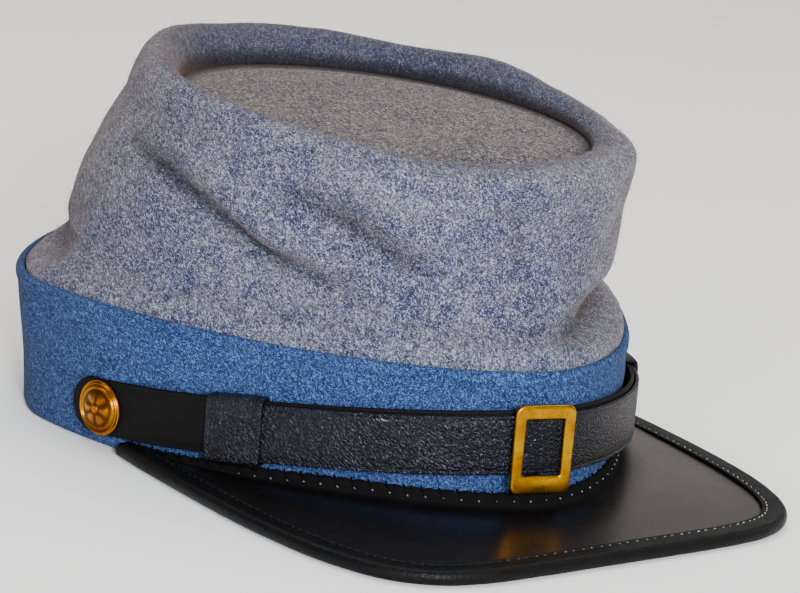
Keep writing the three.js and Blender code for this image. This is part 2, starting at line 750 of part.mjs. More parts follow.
function buttonPlace(side) {
  const offsets = side < 0 ? rearStrapOffsets : frontStrapOffsets;
  const rise = side < 0 ? rearRise : frontRise;
  const place = strapFrame(inRadians(side * buttonTurn), offsets, rise);
  return place.multiply(new THREE.Matrix4().makeTranslation(0, 0, strapWall));
}

// Hole through a strap's end for the button's shank
function shankHole(side) {
  const depth = strapWall * 4;
  const cutter = new THREE.CylinderGeometry(shankRadius + seatGap, shankRadius + seatGap, depth, 12);
  cutter.rotateX(Math.PI / 2);
  return toSolid(mergedPositions(cutter).applyMatrix4(buttonPlace(side)));
}

// Stud on the crown's side, seated on the cloth in the fold beside the front
function studGeometry() {
  const profile = [
    [0, 0], [studRadius * 0.9, 0], [studRadius, studDome * 0.3], [studRadius * 0.7, studDome * 0.8], [0, studDome],
  ];
  const geometry = turnedGeometry(profile, 16);
  const turn = inRadians(studTurn);
  const levels = crownSections.map(({ level }) => level);
  const above = levels.findIndex((level) => level > studLevel);
  const position = above - 1 + (studLevel - levels[above - 1]) / (levels[above] - levels[above - 1]);
  const at = (turnStep, rowStep) => crownPoint(turn + turnStep, crownTableOval(position + rowStep));
  const across = at(0.05, 0).sub(at(-0.05, 0));
  const upward = at(0, 0.3).sub(at(0, -0.3));
  const outward = across.clone().cross(upward).normalize();
  const facing = new THREE.Quaternion().setFromUnitVectors(new THREE.Vector3(0, 0, 1), outward);
  const seat = at(0, 0).addScaledVector(outward, seatGap + 0.4);
  return geometry.applyMatrix4(new THREE.Matrix4().compose(seat, facing, new THREE.Vector3(1, 1, 1)));
}

const cap = new THREE.Group();

function addPiece(name, geometry, material) {
  const piece = new THREE.Mesh(geometry, material);
  piece.name = name;
  cap.add(piece);
}

const rightEnd = turnAfter(inRadians(-buttonTurn), -strapOverrun);
const leftEnd = turnAfter(inRadians(buttonTurn), strapOverrun);
const rearTail = turnAfter(inRadians(keeperLeftTurn), keeperLength / 2 + strapTail);
const frontTail = turnAfter(inRadians(keeperRightTurn), -keeperLength / 2 + 1);
const rearStrap = toSolid(strapGeometry(rightEnd, rearTail, rearStrapOffsets, rearRise, true, false));
const frontStrap = toSolid(strapGeometry(frontTail, leftEnd, frontStrapOffsets, frontRise, false, true));

addPiece('crown_side', crownSideGeometry(), materials.crownWool);
addPiece('crown_top', crownTopGeometry(), materials.crownWool);
addPiece('band', bandGeometry(), materials.bandWool);
addPiece('peak', peakGeometry(), materials.peakLeather);
addPiece('peak_binding', bindingGeometry(), materials.peakLeather);
addPiece('strap_rear', fromSolid(rearStrap.subtract(shankHole(-1))), materials.strapLeather);
addPiece('strap_front', fromSolid(frontStrap.subtract(shankHole(1))), materials.strapLeather);
addPiece('keeper_right', keeperGeometry(keeperRightTurn), materials.strapLeather);
addPiece('keeper_left', keeperGeometry(keeperLeftTurn), materials.strapLeather);
addPiece('buckle', buckleGeometry(), materials.brass);
addPiece('button_right', buttonGeometry().applyMatrix4(buttonPlace(-1)), materials.brass);
addPiece('button_left', buttonGeometry().applyMatrix4(buttonPlace(1)), materials.brass);
addPiece('side_stud', studGeometry(), materials.brass);

// The origin lies under the middle of the whole cap's box.
const box = new THREE.Box3().setFromObject(cap);
const middle = box.getCenter(new THREE.Vector3());
cap.position.set(-middle.x, -middle.y, -box.min.z);
cap.updateMatrixWorld(true);

export default cap;
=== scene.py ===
"""Kepi cap: slumped wool crown, wool band, bound leather peak and a buckled chin strap."""
import math

import bpy
import numpy as np
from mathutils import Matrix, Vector, noise


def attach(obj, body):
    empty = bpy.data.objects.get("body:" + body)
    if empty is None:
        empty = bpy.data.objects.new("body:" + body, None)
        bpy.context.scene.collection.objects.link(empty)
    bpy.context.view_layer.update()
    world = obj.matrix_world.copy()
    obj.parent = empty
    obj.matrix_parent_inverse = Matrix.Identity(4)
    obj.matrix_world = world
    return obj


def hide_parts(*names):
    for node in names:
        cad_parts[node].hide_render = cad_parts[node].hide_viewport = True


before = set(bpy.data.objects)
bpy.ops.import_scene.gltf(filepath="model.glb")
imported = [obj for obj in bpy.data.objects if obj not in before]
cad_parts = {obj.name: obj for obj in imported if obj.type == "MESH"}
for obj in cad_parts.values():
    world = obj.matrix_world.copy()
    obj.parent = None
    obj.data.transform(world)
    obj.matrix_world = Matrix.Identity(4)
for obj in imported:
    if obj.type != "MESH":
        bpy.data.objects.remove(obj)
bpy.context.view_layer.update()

# The cap is set out in millimetres from the middle of its head band. The frame's origin lies elsewhere,
# under the middle of the whole cap, so every point is moved by this much.
BAND_MIDDLE = np.array([1.715, 34.91, 0.0])
MM = 0.001
SEAT_GAP = 0.3

# Head band
BAND_HEIGHT = 40.0
BAND_WALL = 2.2
BAND_FRONT_REACH = 124.6
BAND_REAR_REACH = 77.8
BAND_RIGHT_REACH = 85.0
BAND_LEFT_REACH = 82.5
BAND_SETBACK = 5.5
BAND_FRONT_FLARE = 1.6
BAND_REAR_FLARE = 1.4
BAND_RIGHT_FLARE = 4.0
BAND_LEFT_FLARE = 3.0
BAND_FRONT_ROUNDNESS = 1.68
BAND_REAR_ROUNDNESS = 1.52

# Crown
CROWN_TUCK = 7.5
CROWN_WALL = 1.8
RIM_LENGTH = 174.0
RIM_WIDTH = 125.5
RIM_HEIGHT = 88.0
RIM_FORWARD = 24.0
RIM_PITCH = 0.005
RIM_ROUNDNESS = 2.0
CREST_HEIGHT = 97.4
CREST_PITCH = 0.079
TOP_LENGTH = 140.5
TOP_WIDTH = 103.5
TOP_HEIGHT = 89.0
TOP_FORWARD = 27.8
TOP_PITCH = 0.026
TOP_SEAM = 2.0
TOP_WALL = 1.8
TOP_CROWN = 1.2

# Peak and its binding
PEAK_RIGHT_REACH = 81.4
PEAK_LEFT_REACH = 78.4
PEAK_REACH = 36.0
PEAK_ROOT_SETBACK = 231.0
PEAK_CORNER = 6.0
PEAK_WALL = 1.4
PEAK_TIP_LAP = 0.7
PEAK_ROOT_LIFT = 1.6
FLANGE_HEIGHT = 8.0
FLANGE_TIP_HEIGHT = 3.9
FLANGE_WALL = 1.3
FLANGE_GAP = 0.5
BINDING_LAP = 5.0
BINDING_WALL = 0.9
BINDING_NOSE = 1.9
BINDING_SEAM = 0.72
STITCH_SPACING = 2.85
STITCH_LENGTH = 1.0
STITCH_SHORTEST_LAP = 3.0
STITCH_RADIUS = 0.18
STITCH_RISE = 0.2
WHIP_RADIUS = 0.32
WHIP_RISE = 0.3
KNOT_RISE = 0.28

# Chin strap and its brass
STRAP_WIDTH = 15.5
STRAP_WALL = 1.2
BUTTON_HEIGHT = 11.4
BUTTON_TURN = 70.4
STRAP_OVERRUN = 11.0
REAR_RISE = 12.0
FRONT_RISE = 10.9
STRAP_RISE_POWER = 1.05
KEEPER_WALL = 0.9
KEEPER_LENGTH = 16.0
KEEPER_RIGHT_TURN = -49.5
KEEPER_LEFT_TURN = 50.0
STRAP_TAIL = 2.0
BUCKLE_TURN = -6.1
BUCKLE_HANG = 1.4
BUCKLE_WIDTH = 16.4
BUCKLE_HEIGHT = 23.4
BUCKLE_RAIL = 2.9
BUCKLE_CROSS_RAIL = 3.8
BUCKLE_WALL = 1.4
BUCKLE_CORNER = 2.2
BUCKLE_WINDOW_LIFT = 0.5
BUCKLE_FACE_ROOM = 0.5
BUCKLE_BAR_WIDTH = 3.0
BUCKLE_BAR_WALL = 0.9
BUCKLE_LEG_ROOM = 0.1
BUCKLE_LEG_WALL = 0.5
BUCKLE_LEG_DROP = 0.6
BUCKLE_LEG_BEVEL = 0.15
BUTTON_RADIUS = 7.5
STUD_TURN = 47.0
STUD_LEVEL = 0.26

# Crown sections from the band to the rim: share of the rise, shares of the way from the band's oval to the
# rim's along and across, and shares of the rim's own shift forward and pitch.
CROWN_SECTIONS = {
    "level": (0.0, 0.08, 0.2, 0.37, 0.57, 0.8, 1.0),
    "along": (0.0, 0.12, 0.46, 0.7, 0.85, 0.96, 1.0),
    "across": (0.0, 0.17, 0.42, 0.49, 0.54, 0.73, 1.0),
    "forward": (0.0, 0.07, 0.18, 0.37, 0.6, 0.83, 1.0),
    "pitch": (0.0, 0.3, 0.6, 0.8, 0.9, 1.0, 1.0),
}

# Creases of the crown's side, each a path with a depth along it, a width and the lip of the cloth above it
CREASES = (
    {"turn": (-106, -98, -84, -71, -59, -51, -41, -28),
     "level": (0.88, 0.85, 0.8, 0.69, 0.55, 0.43, 0.33, 0.27),
     "depth": (0.0, 2.4, 4.0, 4.8, 5.0, 4.2, 2.4, 0.0), "width": 2.2, "lip": 1.9},
    {"turn": (-60, -51, -39, -28, -18), "level": (0.86, 0.8, 0.68, 0.49, 0.4),
     "depth": (0.0, 2.6, 3.6, 3.0, 0.0), "width": 3.2, "lip": 1.5},
    {"turn": (-10, -7, -3, 3), "level": (0.9, 0.8, 0.54, 0.4),
     "depth": (0.0, 1.5, 1.4, 0.0), "width": 4.5, "lip": 0.3},
    {"turn": (2, 13, 25, 37, 52, 70), "level": (0.13, 0.16, 0.2, 0.22, 0.25, 0.3),
     "depth": (0.0, 2.8, 4.0, 4.2, 3.6, 0.0), "width": 2.0, "lip": 1.3},
    {"turn": (56, 74, 98, 118, 130), "level": (0.38, 0.44, 0.62, 0.76, 0.84),
     "depth": (0.0, 2.4, 3.2, 2.0, 0.0), "width": 3.4, "lip": 1.0},
    {"turn": (126, 140, 158, 176), "level": (0.26, 0.4, 0.62, 0.78),
     "depth": (0.0, 2.4, 2.2, 0.0), "width": 3.6, "lip": 0.8},
    {"turn": (-164, -150, -138, -124), "level": (0.74, 0.64, 0.46, 0.34),
     "depth": (0.0, 1.8, 1.8, 0.0), "width": 3.8, "lip": 0.6},
    {"turn": (-120, -104, -86), "level": (0.44, 0.36, 0.3),
     "depth": (0.0, 0.9, 0.0), "width": 3.4, "lip": 0.3},
    {"turn": (-22, -4, 14), "level": (0.36, 0.31, 0.27),
     "depth": (0.0, 0.8, 0.0), "width": 3.6, "lip": 0.2},
)

# Places where the cloth stands out from the even wall, or sinks below it: the middle of each, its reach
# and how far out it goes, in millimetres
SWELLS = {
    "turn": (42, 45, -111, -122, -50, -30, -84, 100, 170),
    "level": (0.42, 0.88, 0.13, 0.85, 0.62, 0.22, 0.45, 0.35, 0.3),
    "turn_reach": (24, 26, 20, 26, 12, 16, 14, 22, 20),
    "level_reach": (0.17, 0.26, 0.09, 0.35, 0.2, 0.12, 0.2, 0.2, 0.2),
    "out": (2.4, 1.0, -5.2, -0.9, 1.9, 0.8, 0.7, 1.4, 1.2),
}

# Cross-section of every crease, in widths of the crease: a sharp valley inside a broad one, the lip of
# cloth above it, and the line of painted shade along it
SHARP_VALLEY_SHARE = 0.62
BROAD_VALLEY_REACH = 2.8
LIP_AWAY = 2.3
LIP_REACH = 1.7
SHARP_LINE_SHARE = 0.7
SHARP_LINE_SHIFT = 0.1
SHARP_LINE_REACH = 0.5
BROAD_LINE_REACH = 1.9
FULL_LINE_DEPTH = 4

# Lumps of each piece: their size in millimetres, how high they are, and the seed of their noise
CROWN_LUMPS = ((26.0, 0.65, 3), (11.0, 0.35, 5), (4.5, 0.12, 8))
TOP_LUMPS = ((30.0, 0.8, 11), (10.0, 0.3, 12))
BAND_LUMPS = ((24.0, 0.45, 21), (7.0, 0.15, 22))
PEAK_LUMPS = ((34.0, 0.16, 31), (9.0, 0.05, 32))
BINDING_LUMPS = ((6.0, 0.06, 41), (16.0, 0.05, 42))

# Waves of the rim's crest: turn in degrees and rise in millimetres
CREST_WAVES = {
    "turn": (-180, -148, -125, -60, -24, 10, 50, 84, 104, 134, 156, 180),
    "rise": (-1.2, 0.3, 0.1, 0.0, -2.0, -0.8, -1.8, -0.8, 0.9, -2.3, -1.4, -1.2),
}

# The rim bulges out at one corner behind the wearer's right, where the cloth has slumped over
RIM_BULGE = {"turn": -130, "turn_reach": 17, "out": 2.4}

# The band's top edge hangs slack in one place at the wearer's left front
BAND_SLACK = {
    "turn": 42, "turn_reach": 22, "from_height": 24, "height_reach": 14, "inward": 1.1, "drop": 1.3,
}

# Section of the band from its lower edge up the outside and down the inside: height and outset
BAND_HOLLOW = 0.42
BAND_LOWER_EDGE = ((0.0, -1.1), (0.25, -0.35), (1.2, -0.02))
BAND_HEM = ((34, 0.05), (35.2, 0.1), (35.9, -0.1), (36.5, 0.3), (37.5, 0.6), (38.7, 0.55), (39.5, 0.1),
            (40.0, -0.6), (39.9, -1.5), (39.2, -2.1))
BAND_INSIDE_ROWS = 8
BAND_INSIDE_EDGE = ((0.4, -BAND_WALL + 0.2), (0.0, -1.5))

# The peak's plate between the sewing edge and the free edge, and how much it is domed
PLATE_SHARES = (0.04, 0.12, 0.24, 0.4, 0.56, 0.72, 0.86, 1.0)
UNDERSIDE_SHARES = (1.0, 0.72, 0.4, 0.12, 0.0)
PLATE_DOME = 0.5

# Where the peak's upturned edge tapers off at its sides, in degrees from the front
FLANGE_TAPER = (32, 66)

# How far each strap half stands off the band, in strap walls, at turns counted from the front
REAR_STRAP = {
    "turn": (-90, -67, -58.5, -40, -20, 0, 24, 40, 62),
    "walls": (0.42, 0.45, 1.42, 1.4, 1.6, 1.6, 1.45, 1.4, 1.42),
}
FRONT_STRAP = {
    "turn": (-66, -40, -20, 0, 24, 40, 58.5, 67, 90),
    "walls": (2.7, 2.68, 2.87, 2.87, 2.72, 2.68, 2.7, 0.45, 0.42),
}

# Section of a strap: share of its half width, and how far its face lies below the full wall, with a
# creased line beside each edge; then the same for its back
STRAP_FACE = {
    "up": (-1, -0.985, -0.95, -0.9, -0.87, -0.84, -0.6, -0.3, 0, 0.3, 0.6, 0.84, 0.87, 0.9, 0.95, 0.985, 1),
    "sunk": (0.45, 0.18, 0.02, 0.03, 0.16, 0.03, 0, 0, 0, 0, 0, 0.03, 0.16, 0.03, 0.02, 0.18, 0.45),
}
STRAP_BACK = {
    "up": (1, 0.97, 0.6, 0, -0.6, -0.97, -1),
    "out": (0.35, 0.05, 0, 0, 0, 0.05, 0.35),
}
STRAP_END_SHARES = (0, 0.02, 0.06, 0.13, 0.22, 0.34, 0.48, 0.64, 0.82, 1.0)
STRAP_STEP = 1.2
STRAP_TIP_WIDTH = 0.12
STRAP_WAVINESS = 0.075

# Section of a keeper across its width: share of its half length, and how far its face is sunk
KEEPER_SECTION = {
    "along": (-1, -0.985, -0.93, -0.86, -0.8, -0.74, -0.68, -0.6, 0,
              0.6, 0.68, 0.74, 0.8, 0.86, 0.93, 0.985, 1),
    "sunk": (0.35, 0.08, 0, 0.02, 0.26, 0.02, 0.2, 0, 0, 0, 0.2, 0.02, 0.26, 0.02, 0, 0.08, 0.35),
}
KEEPER_SQUARENESS = 0.22

# Section of the buckle's frame from its outer edge to its window: share of the rail, share of the wall
BUCKLE_SECTION = (
    (0, 0.15), (0, 0.75), (0.05, 0.92), (0.13, 0.99), (0.3, 1.03), (0.5, 1.05), (0.7, 1.03), (0.87, 0.99),
    (0.95, 0.92), (1, 0.75), (1, 0.15), (0.93, 0.0), (0.07, 0.0),
)

# Two rings round a button's face: their radius, half width and rise
BUTTON_RINGS = {"radius": (6.8, 5.8), "reach": (0.32, 0.22), "rise": (0.62, 0.4)}
BUTTON_DOME = 1.9
BUTTON_EDGE = 0.35
PETALS = 6
PETAL_RISE = 0.42
BOSS_RADIUS = 1.35
BOSS_RISE = 0.4

# Turned section of the stud's head from its seat to its middle: radius and height
STUD_SECTION = (
    (2.6, 0.0), (2.9, 0.15), (2.95, 0.5), (2.75, 0.85), (2.3, 1.02), (1.9, 1.0), (1.5, 1.1), (0.9, 1.28),
    (0.4, 1.34),
)

# Numbers of rows, columns and scallops
CROWN_COLUMNS = 600
CROWN_SIDE_ROWS = 62
CROWN_ROLL_ROWS = 28
TOP_COLUMNS = 240
BAND_COLUMNS = 420
PEAK_STATIONS = 561
SCALLOPS = 52
BUTTON_COLUMNS = 180
STUD_COLUMNS = 48

# Nap: how many fibres there are, how long and thick they are, and how deep they are set
NAP_FIBRES = 9000
NAP_LENGTHS = (0.5, 1.7)
NAP_RADIUS = 0.035
NAP_SUNK = 0.25

PEAK_BOTTOM = BINDING_WALL + SEAT_GAP
PEAK_TOP = PEAK_BOTTOM + PEAK_WALL
BINDING_TOP = PEAK_TOP + SEAT_GAP + BINDING_WALL


def smooth_share(share):
    """Soft step from 0 to 1."""
    share = np.clip(share, 0.0, 1.0)
    return share * share * (3 - 2 * share)


def blend(start, end, share):
    """Straight step from start to end."""
    return start + (end - start) * share


def look_up(table, column, at):
    """Value of a column where the table's turn has a given value, in smooth steps."""
    keys = np.array(table["turn"], float)
    values = np.array(table[column], float)
    at = np.clip(np.asarray(at, float), keys[0], keys[-1])
    index = np.clip(np.searchsorted(keys, at, side="right") - 1, 0, len(keys) - 2)
    share = (at - keys[index]) / (keys[index + 1] - keys[index])
    return blend(values[index], values[index + 1], smooth_share(share))


def along_rows(values, position):
    """Smooth curve through a column of a table, at positions counted in rows."""
    values = np.array(values, float)
    last = len(values) - 1
    index = np.clip(np.floor(position).astype(int), 0, last - 1)
    share = position - index
    before, start = values[np.clip(index - 1, 0, last)], values[index]
    end, after = values[index + 1], values[np.clip(index + 2, 0, last)]
    start_slope, end_slope = (end - before) / 2, (after - start) / 2
    square, cube = share ** 2, share ** 3
    return ((2 * cube - 3 * square + 1) * start + (cube - 2 * square + share) * start_slope
            + (3 * square - 2 * cube) * end + (cube - square) * end_slope)


def oval_point(turn, oval):
    """Points of an egg-shaped, pitched oval. Turn is in radians from the front to the wearer's left."""
    side, front = np.sin(turn), np.cos(turn)
    power = 2 / blend(oval["round_front"], oval["round_rear"], (1 - front) / 2)
    reach = np.where(front < 0, oval["rear"], oval["front"]) * np.sign(front) * np.abs(front) ** power
    across = np.where(side < 0, oval["right"], oval["left"]) * np.sign(side) * np.abs(side) ** power
    points = (across, -oval["forward"] - reach, oval["height"] - oval["pitch"] * reach)
    return np.stack(np.broadcast_arrays(*points), axis=-1)


def band_oval(height, outset):
    """The band's oval at a height, moved out from its outer face."""
    share = height / BAND_HEIGHT
    return {
        "front": BAND_FRONT_REACH + BAND_FRONT_FLARE * share + outset,
        "rear": BAND_REAR_REACH + BAND_REAR_FLARE * share + outset,
        "right": BAND_RIGHT_REACH + BAND_RIGHT_FLARE * share + outset,
        "left": BAND_LEFT_REACH + BAND_LEFT_FLARE * share + outset,
        "round_front": BAND_FRONT_ROUNDNESS,
        "round_rear": BAND_REAR_ROUNDNESS,
        "forward": -BAND_SETBACK,
        "height": height,
        "pitch": 0.0,
    }


def soft_noise(points, size, seed):
    """Smooth lumps of a given size in millimetres, one value for each point, about -1 to 1."""
    shift = Vector((seed * 13.7, seed * 7.1, seed * 3.3))
    flat = points.reshape(-1, 3) / size
    values = [noise.noise(Vector(point) + shift) for point in flat.tolist()]
    return np.array(values).reshape(points.shape[:-1])


def lumps(points, table):
    """Lumps of all the sizes in a table, added up."""
    return sum(height * soft_noise(points, size, seed) for size, height, seed in table)


def surface_normals(grid, closed_rows, closed_columns):
    """Unit normals of a grid of points."""
    def steps(axis, closed):
        if closed:
            return np.roll(grid, -1, axis) - np.roll(grid, 1, axis)
        return np.gradient(grid, axis=axis)
    normals = np.cross(steps(1, closed_columns), steps(0, closed_rows))
    return normals / (np.linalg.norm(normals, axis=-1, keepdims=True) + 1e-9)


# Pieces: closed meshes named after what they are, each riding on the cap's one body

def grid_faces(rows, columns, closed_rows, closed_columns):
    """Four-cornered faces between the rows and columns of a grid of points."""
    row = np.arange(rows if closed_rows else rows - 1)[:, None]
    column = np.arange(columns if closed_columns else columns - 1)[None, :]
    next_row, next_column = (row + 1) % rows, (column + 1) % columns
    corners = [row * columns + column, row * columns + next_column,
               next_row * columns + next_column, next_row * columns + column]
    corners = [np.broadcast_to(corner, (row.size, column.size)) for corner in corners]
    return np.stack(corners, -1).reshape(-1, 4).tolist()


def fan(ring, middle):
    """Triangles from a ring to one middle point."""
    return [[ring[index], ring[(index + 1) % len(ring)], middle] for index in range(len(ring))]


def enclosed_volume(points, faces):
    """Six times the volume inside the faces: below 0 where they face inward."""
    total = 0.0
    for face in faces:
        a = points[face[0]]
        for second, third in zip(face[1:-1], face[2:]):
            total += np.dot(a, np.cross(points[second], points[third]))
    return total


def new_piece(name, parts, material, replaced=(), marks=None):
    """One piece made of closed parts, each of them points and faces. Marks give each point a value."""
    points, faces = [], []
    for part_points, part_faces in parts:
        part_points = np.asarray(part_points, float).reshape(-1, 3)
        if enclosed_volume(part_points - part_points.mean(0), part_faces) < 0:
            part_faces = [face[::-1] for face in part_faces]
        first = sum(len(block) for block in points)
        points.append(part_points)
        faces += [[corner + first for corner in face] for face in part_faces]
    mesh = bpy.data.meshes.new(name)
    mesh.from_pydata(((np.concatenate(points) + BAND_MIDDLE) * MM).tolist(), [], faces)
    mesh.polygons.foreach_set("use_smooth", [True] * len(mesh.polygons))
    for mark, values in (marks or {}).items():
        known = np.zeros(len(mesh.vertices), np.float32)
        known[:values.size] = values.ravel()
        mesh.attributes.new(mark, "FLOAT", "POINT").data.foreach_set("value", known)
    mesh.materials.append(material)
    mesh.update()
    piece = bpy.data.objects.new(name, mesh)
    bpy.context.scene.collection.objects.link(piece)
    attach(piece, "root")
    for node in replaced:
        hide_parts(node)
    return piece


def shell(grid):
    """A closed wall from rings that go up the outside and down the inside."""
    rows, columns = grid.shape[:2]
    return grid.reshape(-1, 3), grid_faces(rows, columns, True, True)


def sweep(grid):
    """A row of rings, closed at both ends by a fan round the middle of the end ring."""
    rings, corners = grid.shape[:2]
    points = np.concatenate([grid.reshape(-1, 3), [grid[0].mean(0)], [grid[-1].mean(0)]])
    faces = grid_faces(rings, corners, False, True)
    faces += fan(list(range(corners))[::-1], rings * corners)
    last = (rings - 1) * corners
    faces += fan(list(range(last, last + corners)), rings * corners + 1)
    return points, faces


# Materials: shared effects are node groups, and the shader stands in each material

def paint(red, green, blue):
    """Linear colour from the 0 to 255 numbers of a display colour."""
    def linear(value):
        value /= 255
        return value / 12.92 if value <= 0.04045 else ((value + 0.055) / 1.055) ** 2.4
    return (linear(red), linear(green), linear(blue), 1.0)


def add_node(tree, kind, inputs=None, **settings):
    """A shader node, with its inputs set to values or joined to sockets."""
    made = tree.nodes.new(kind)
    for name, value in settings.items():
        setattr(made, name, value)
    for name, value in (inputs or {}).items():
        socket = made.inputs[name]
        if isinstance(value, bpy.types.NodeSocket):
            tree.links.new(value, socket)
        else:
            socket.default_value = value
    return made


def noise_value(tree, vector, scale, detail=2.0, roughness=0.5, distortion=0.0):
    made = add_node(tree, "ShaderNodeTexNoise", {
        "Vector": vector, "Scale": scale, "Detail": detail, "Roughness": roughness,
        "Distortion": distortion})
    return made.outputs["Fac"]


def stretched(tree, vector, turn, reach):
    """Coordinates in which a noise is drawn out along turned axes, by a reach for each axis."""
    made = add_node(tree, "ShaderNodeMapping", {"Vector": vector, "Rotation": turn, "Scale": reach},
                    vector_type="TEXTURE")
    return made.outputs["Vector"]


def math_value(tree, operation, first, second=0.0, third=0.0):
    made = add_node(tree, "ShaderNodeMath", {0: first, 1: second, 2: third}, operation=operation)
    return made.outputs[0]


def fitted(tree, value, low, high, to_low=0.0, to_high=1.0):
    """A value's range from low to high, stretched to another range."""
    made = add_node(tree, "ShaderNodeMapRange", {
        "Value": value, "From Min": low, "From Max": high, "To Min": to_low, "To Max": to_high})
    return made.outputs["Result"]


def mixed(tree, share, first, second):
    """A colour between two colours."""
    made = add_node(tree, "ShaderNodeMix", data_type="RGBA")
    for socket, value in ((made.inputs[0], share), (made.inputs[6], first), (made.inputs[7], second)):
        if isinstance(value, bpy.types.NodeSocket):
            tree.links.new(value, socket)
        else:
            socket.default_value = value
    return made.outputs[2]


def place_along(tree, place, axis):
    """One coordinate of a place, in metres."""
    return add_node(tree, "ShaderNodeSeparateXYZ", {"Vector": place}).outputs[axis]


def new_group(name, inputs, outputs):
    """An empty node group with named sockets, given as (name, kind, default)."""
    tree = bpy.data.node_groups.new(name, "ShaderNodeTree")
    for socket_name, kind, default in inputs:
        socket = tree.interface.new_socket(socket_name, in_out="INPUT", socket_type=kind)
        if default is not None:
            socket.default_value = default
    for socket_name, kind in outputs:
        tree.interface.new_socket(socket_name, in_out="OUTPUT", socket_type=kind)
    return tree, tree.nodes.new("NodeGroupInput"), tree.nodes.new("NodeGroupOutput")


# Directions of the wool's lying fibres in radians, and how long they are drawn
FIBRE_TURNS = ((0.3, 0.5, 0.2), (1.2, -0.4, 0.9), (-0.7, 0.9, 2.1))
FIBRE_REACH = (1.0, 3.2, 1.0)

# The wool gets darker and greyer from one place to another along the cap, towards its back, in metres:
# partly dust, partly painted shade on the side turned away from the lamps
DUST_AND_SHADE_RISE = (-0.005, 0.09)

# How far the pebbles' edges waver, in metres
PEBBLE_WAVER = (0.0008, 0.0008, 0.0008)

# The strap is brown and dull from its middle to the wearer's left, in metres across the cap: the brown
# is a painted warm sheen, the dullness a rougher surface
STRAP_SHEEN_AND_DULLING = (0.0, 0.05)

# Raised strokes on the strap: two directions in radians, how long they are drawn, and their scale
SLANTED_STROKES = ((0.0, 0.7, -0.52), (3.0, 1.0, 1.0), 2100.0)
LEVEL_STROKES = ((0.0, 0.15, -0.52), (2.0, 1.0, 1.0), 1800.0)


def wool_nap_group():
    """Felted wool: flecks of three colours, short lying fibres and cloudy patches."""
    tree, given, result = new_group("wool_nap", (
        ("Vector", "NodeSocketVector", None),
        ("Ground", "NodeSocketColor", (0.2, 0.2, 0.3, 1)),
        ("Light Fleck", "NodeSocketColor", (0.6, 0.6, 0.7, 1)),
        ("Dark Fleck", "NodeSocketColor", (0.02, 0.02, 0.05, 1)),
        ("Patch Tint", "NodeSocketColor", (0.5, 0.5, 0.6, 1)),
        ("Fleck Scale", "NodeSocketFloat", 1100.0),
        ("Fleck Share", "NodeSocketFloat", 0.8),
        ("Dust And Shade", "NodeSocketColor", (0.2, 0.2, 0.2, 1)),
        ("Dust And Shade Share", "NodeSocketFloat", 0.3),
    ), (("Color", "NodeSocketColor"), ("Height", "NodeSocketFloat")))
    vector = given.outputs["Vector"]
    scale = given.outputs["Fleck Scale"]
    fibres = []
    for index, turn in enumerate(FIBRE_TURNS):
        lying = stretched(tree, vector, turn, FIBRE_REACH)
        fibres.append(noise_value(tree, lying, scale, 2.0, 0.62, 0.6 + index * 0.2))
    chooser = noise_value(tree, vector, 420.0, 1.0)
    first = math_value(tree, "GREATER_THAN", chooser, 0.5)
    pair = mixed(tree, first, fibres[0], fibres[1])
    weave = math_value(tree, "MULTIPLY_ADD", fibres[2], 0.45, math_value(tree, "MULTIPLY", pair, 0.55))
    fine = noise_value(tree, vector, math_value(tree, "MULTIPLY", scale, 1.9), 1.0)
    field = math_value(tree, "MULTIPLY_ADD", fine, 0.35, math_value(tree, "MULTIPLY", weave, 0.65))
    light = fitted(tree, field, 0.5, 0.62)
    dark = fitted(tree, field, 0.5, 0.39)
    broad = noise_value(tree, vector, 48.0, 2.0, 0.6)
    small = noise_value(tree, vector, 170.0, 2.0, 0.6)
    patches = math_value(tree, "MULTIPLY_ADD", small, 0.55, math_value(tree, "MULTIPLY", broad, 0.45))
    patch = fitted(tree, patches, 0.42, 0.6)
    ground = mixed(tree, patch, given.outputs["Ground"], given.outputs["Patch Tint"])
    share = given.outputs["Fleck Share"]
    lit = mixed(tree, math_value(tree, "MULTIPLY", light, share), ground, given.outputs["Light Fleck"])
    flecked = mixed(tree, math_value(tree, "MULTIPLY", dark, share), lit, given.outputs["Dark Fleck"])
    # Dust and painted shade: the wool darkens and greys towards the cap's back, away from the lamps
    rearward = fitted(tree, place_along(tree, vector, "Y"), *DUST_AND_SHADE_RISE)
    dust_and_shade = math_value(tree, "MULTIPLY", rearward, given.outputs["Dust And Shade Share"])
    tree.links.new(mixed(tree, dust_and_shade, flecked, given.outputs["Dust And Shade"]), result.inputs["Color"])
    tree.links.new(field, result.inputs["Height"])
    return tree


def leather_grain_group():
    """Pebbled leather: rounded cells with fine creases between them, and faint rubbed places."""
    tree, given, result = new_group("leather_grain", (
        ("Vector", "NodeSocketVector", None),
        ("Pebble Scale", "NodeSocketFloat", 900.0),
        ("Rub Scale", "NodeSocketFloat", 60.0),
    ), (("Pebble Height", "NodeSocketFloat"), ("Rub", "NodeSocketFloat")))
    vector = given.outputs["Vector"]
    scale = given.outputs["Pebble Scale"]
    waver = add_node(tree, "ShaderNodeTexNoise", {"Vector": vector, "Scale": scale, "Detail": 1.0})
    shift = add_node(tree, "ShaderNodeVectorMath", {0: waver.outputs["Color"], 1: PEBBLE_WAVER},
                     operation="MULTIPLY")
    bent = add_node(tree, "ShaderNodeVectorMath", {0: vector, 1: shift.outputs[0]}, operation="ADD")
    cells = add_node(tree, "ShaderNodeTexVoronoi", {
        "Vector": bent.outputs[0], "Scale": scale, "Smoothness": 0.6}, feature="SMOOTH_F1")
    height = fitted(tree, cells.outputs["Distance"], 0.1, 0.75, 1.0, 0.0)
    rub = fitted(tree, noise_value(tree, vector, given.outputs["Rub Scale"], 4.0, 0.65), 0.45, 0.7)
    tree.links.new(height, result.inputs["Pebble Height"])
    tree.links.new(rub, result.inputs["Rub"])
    return tree


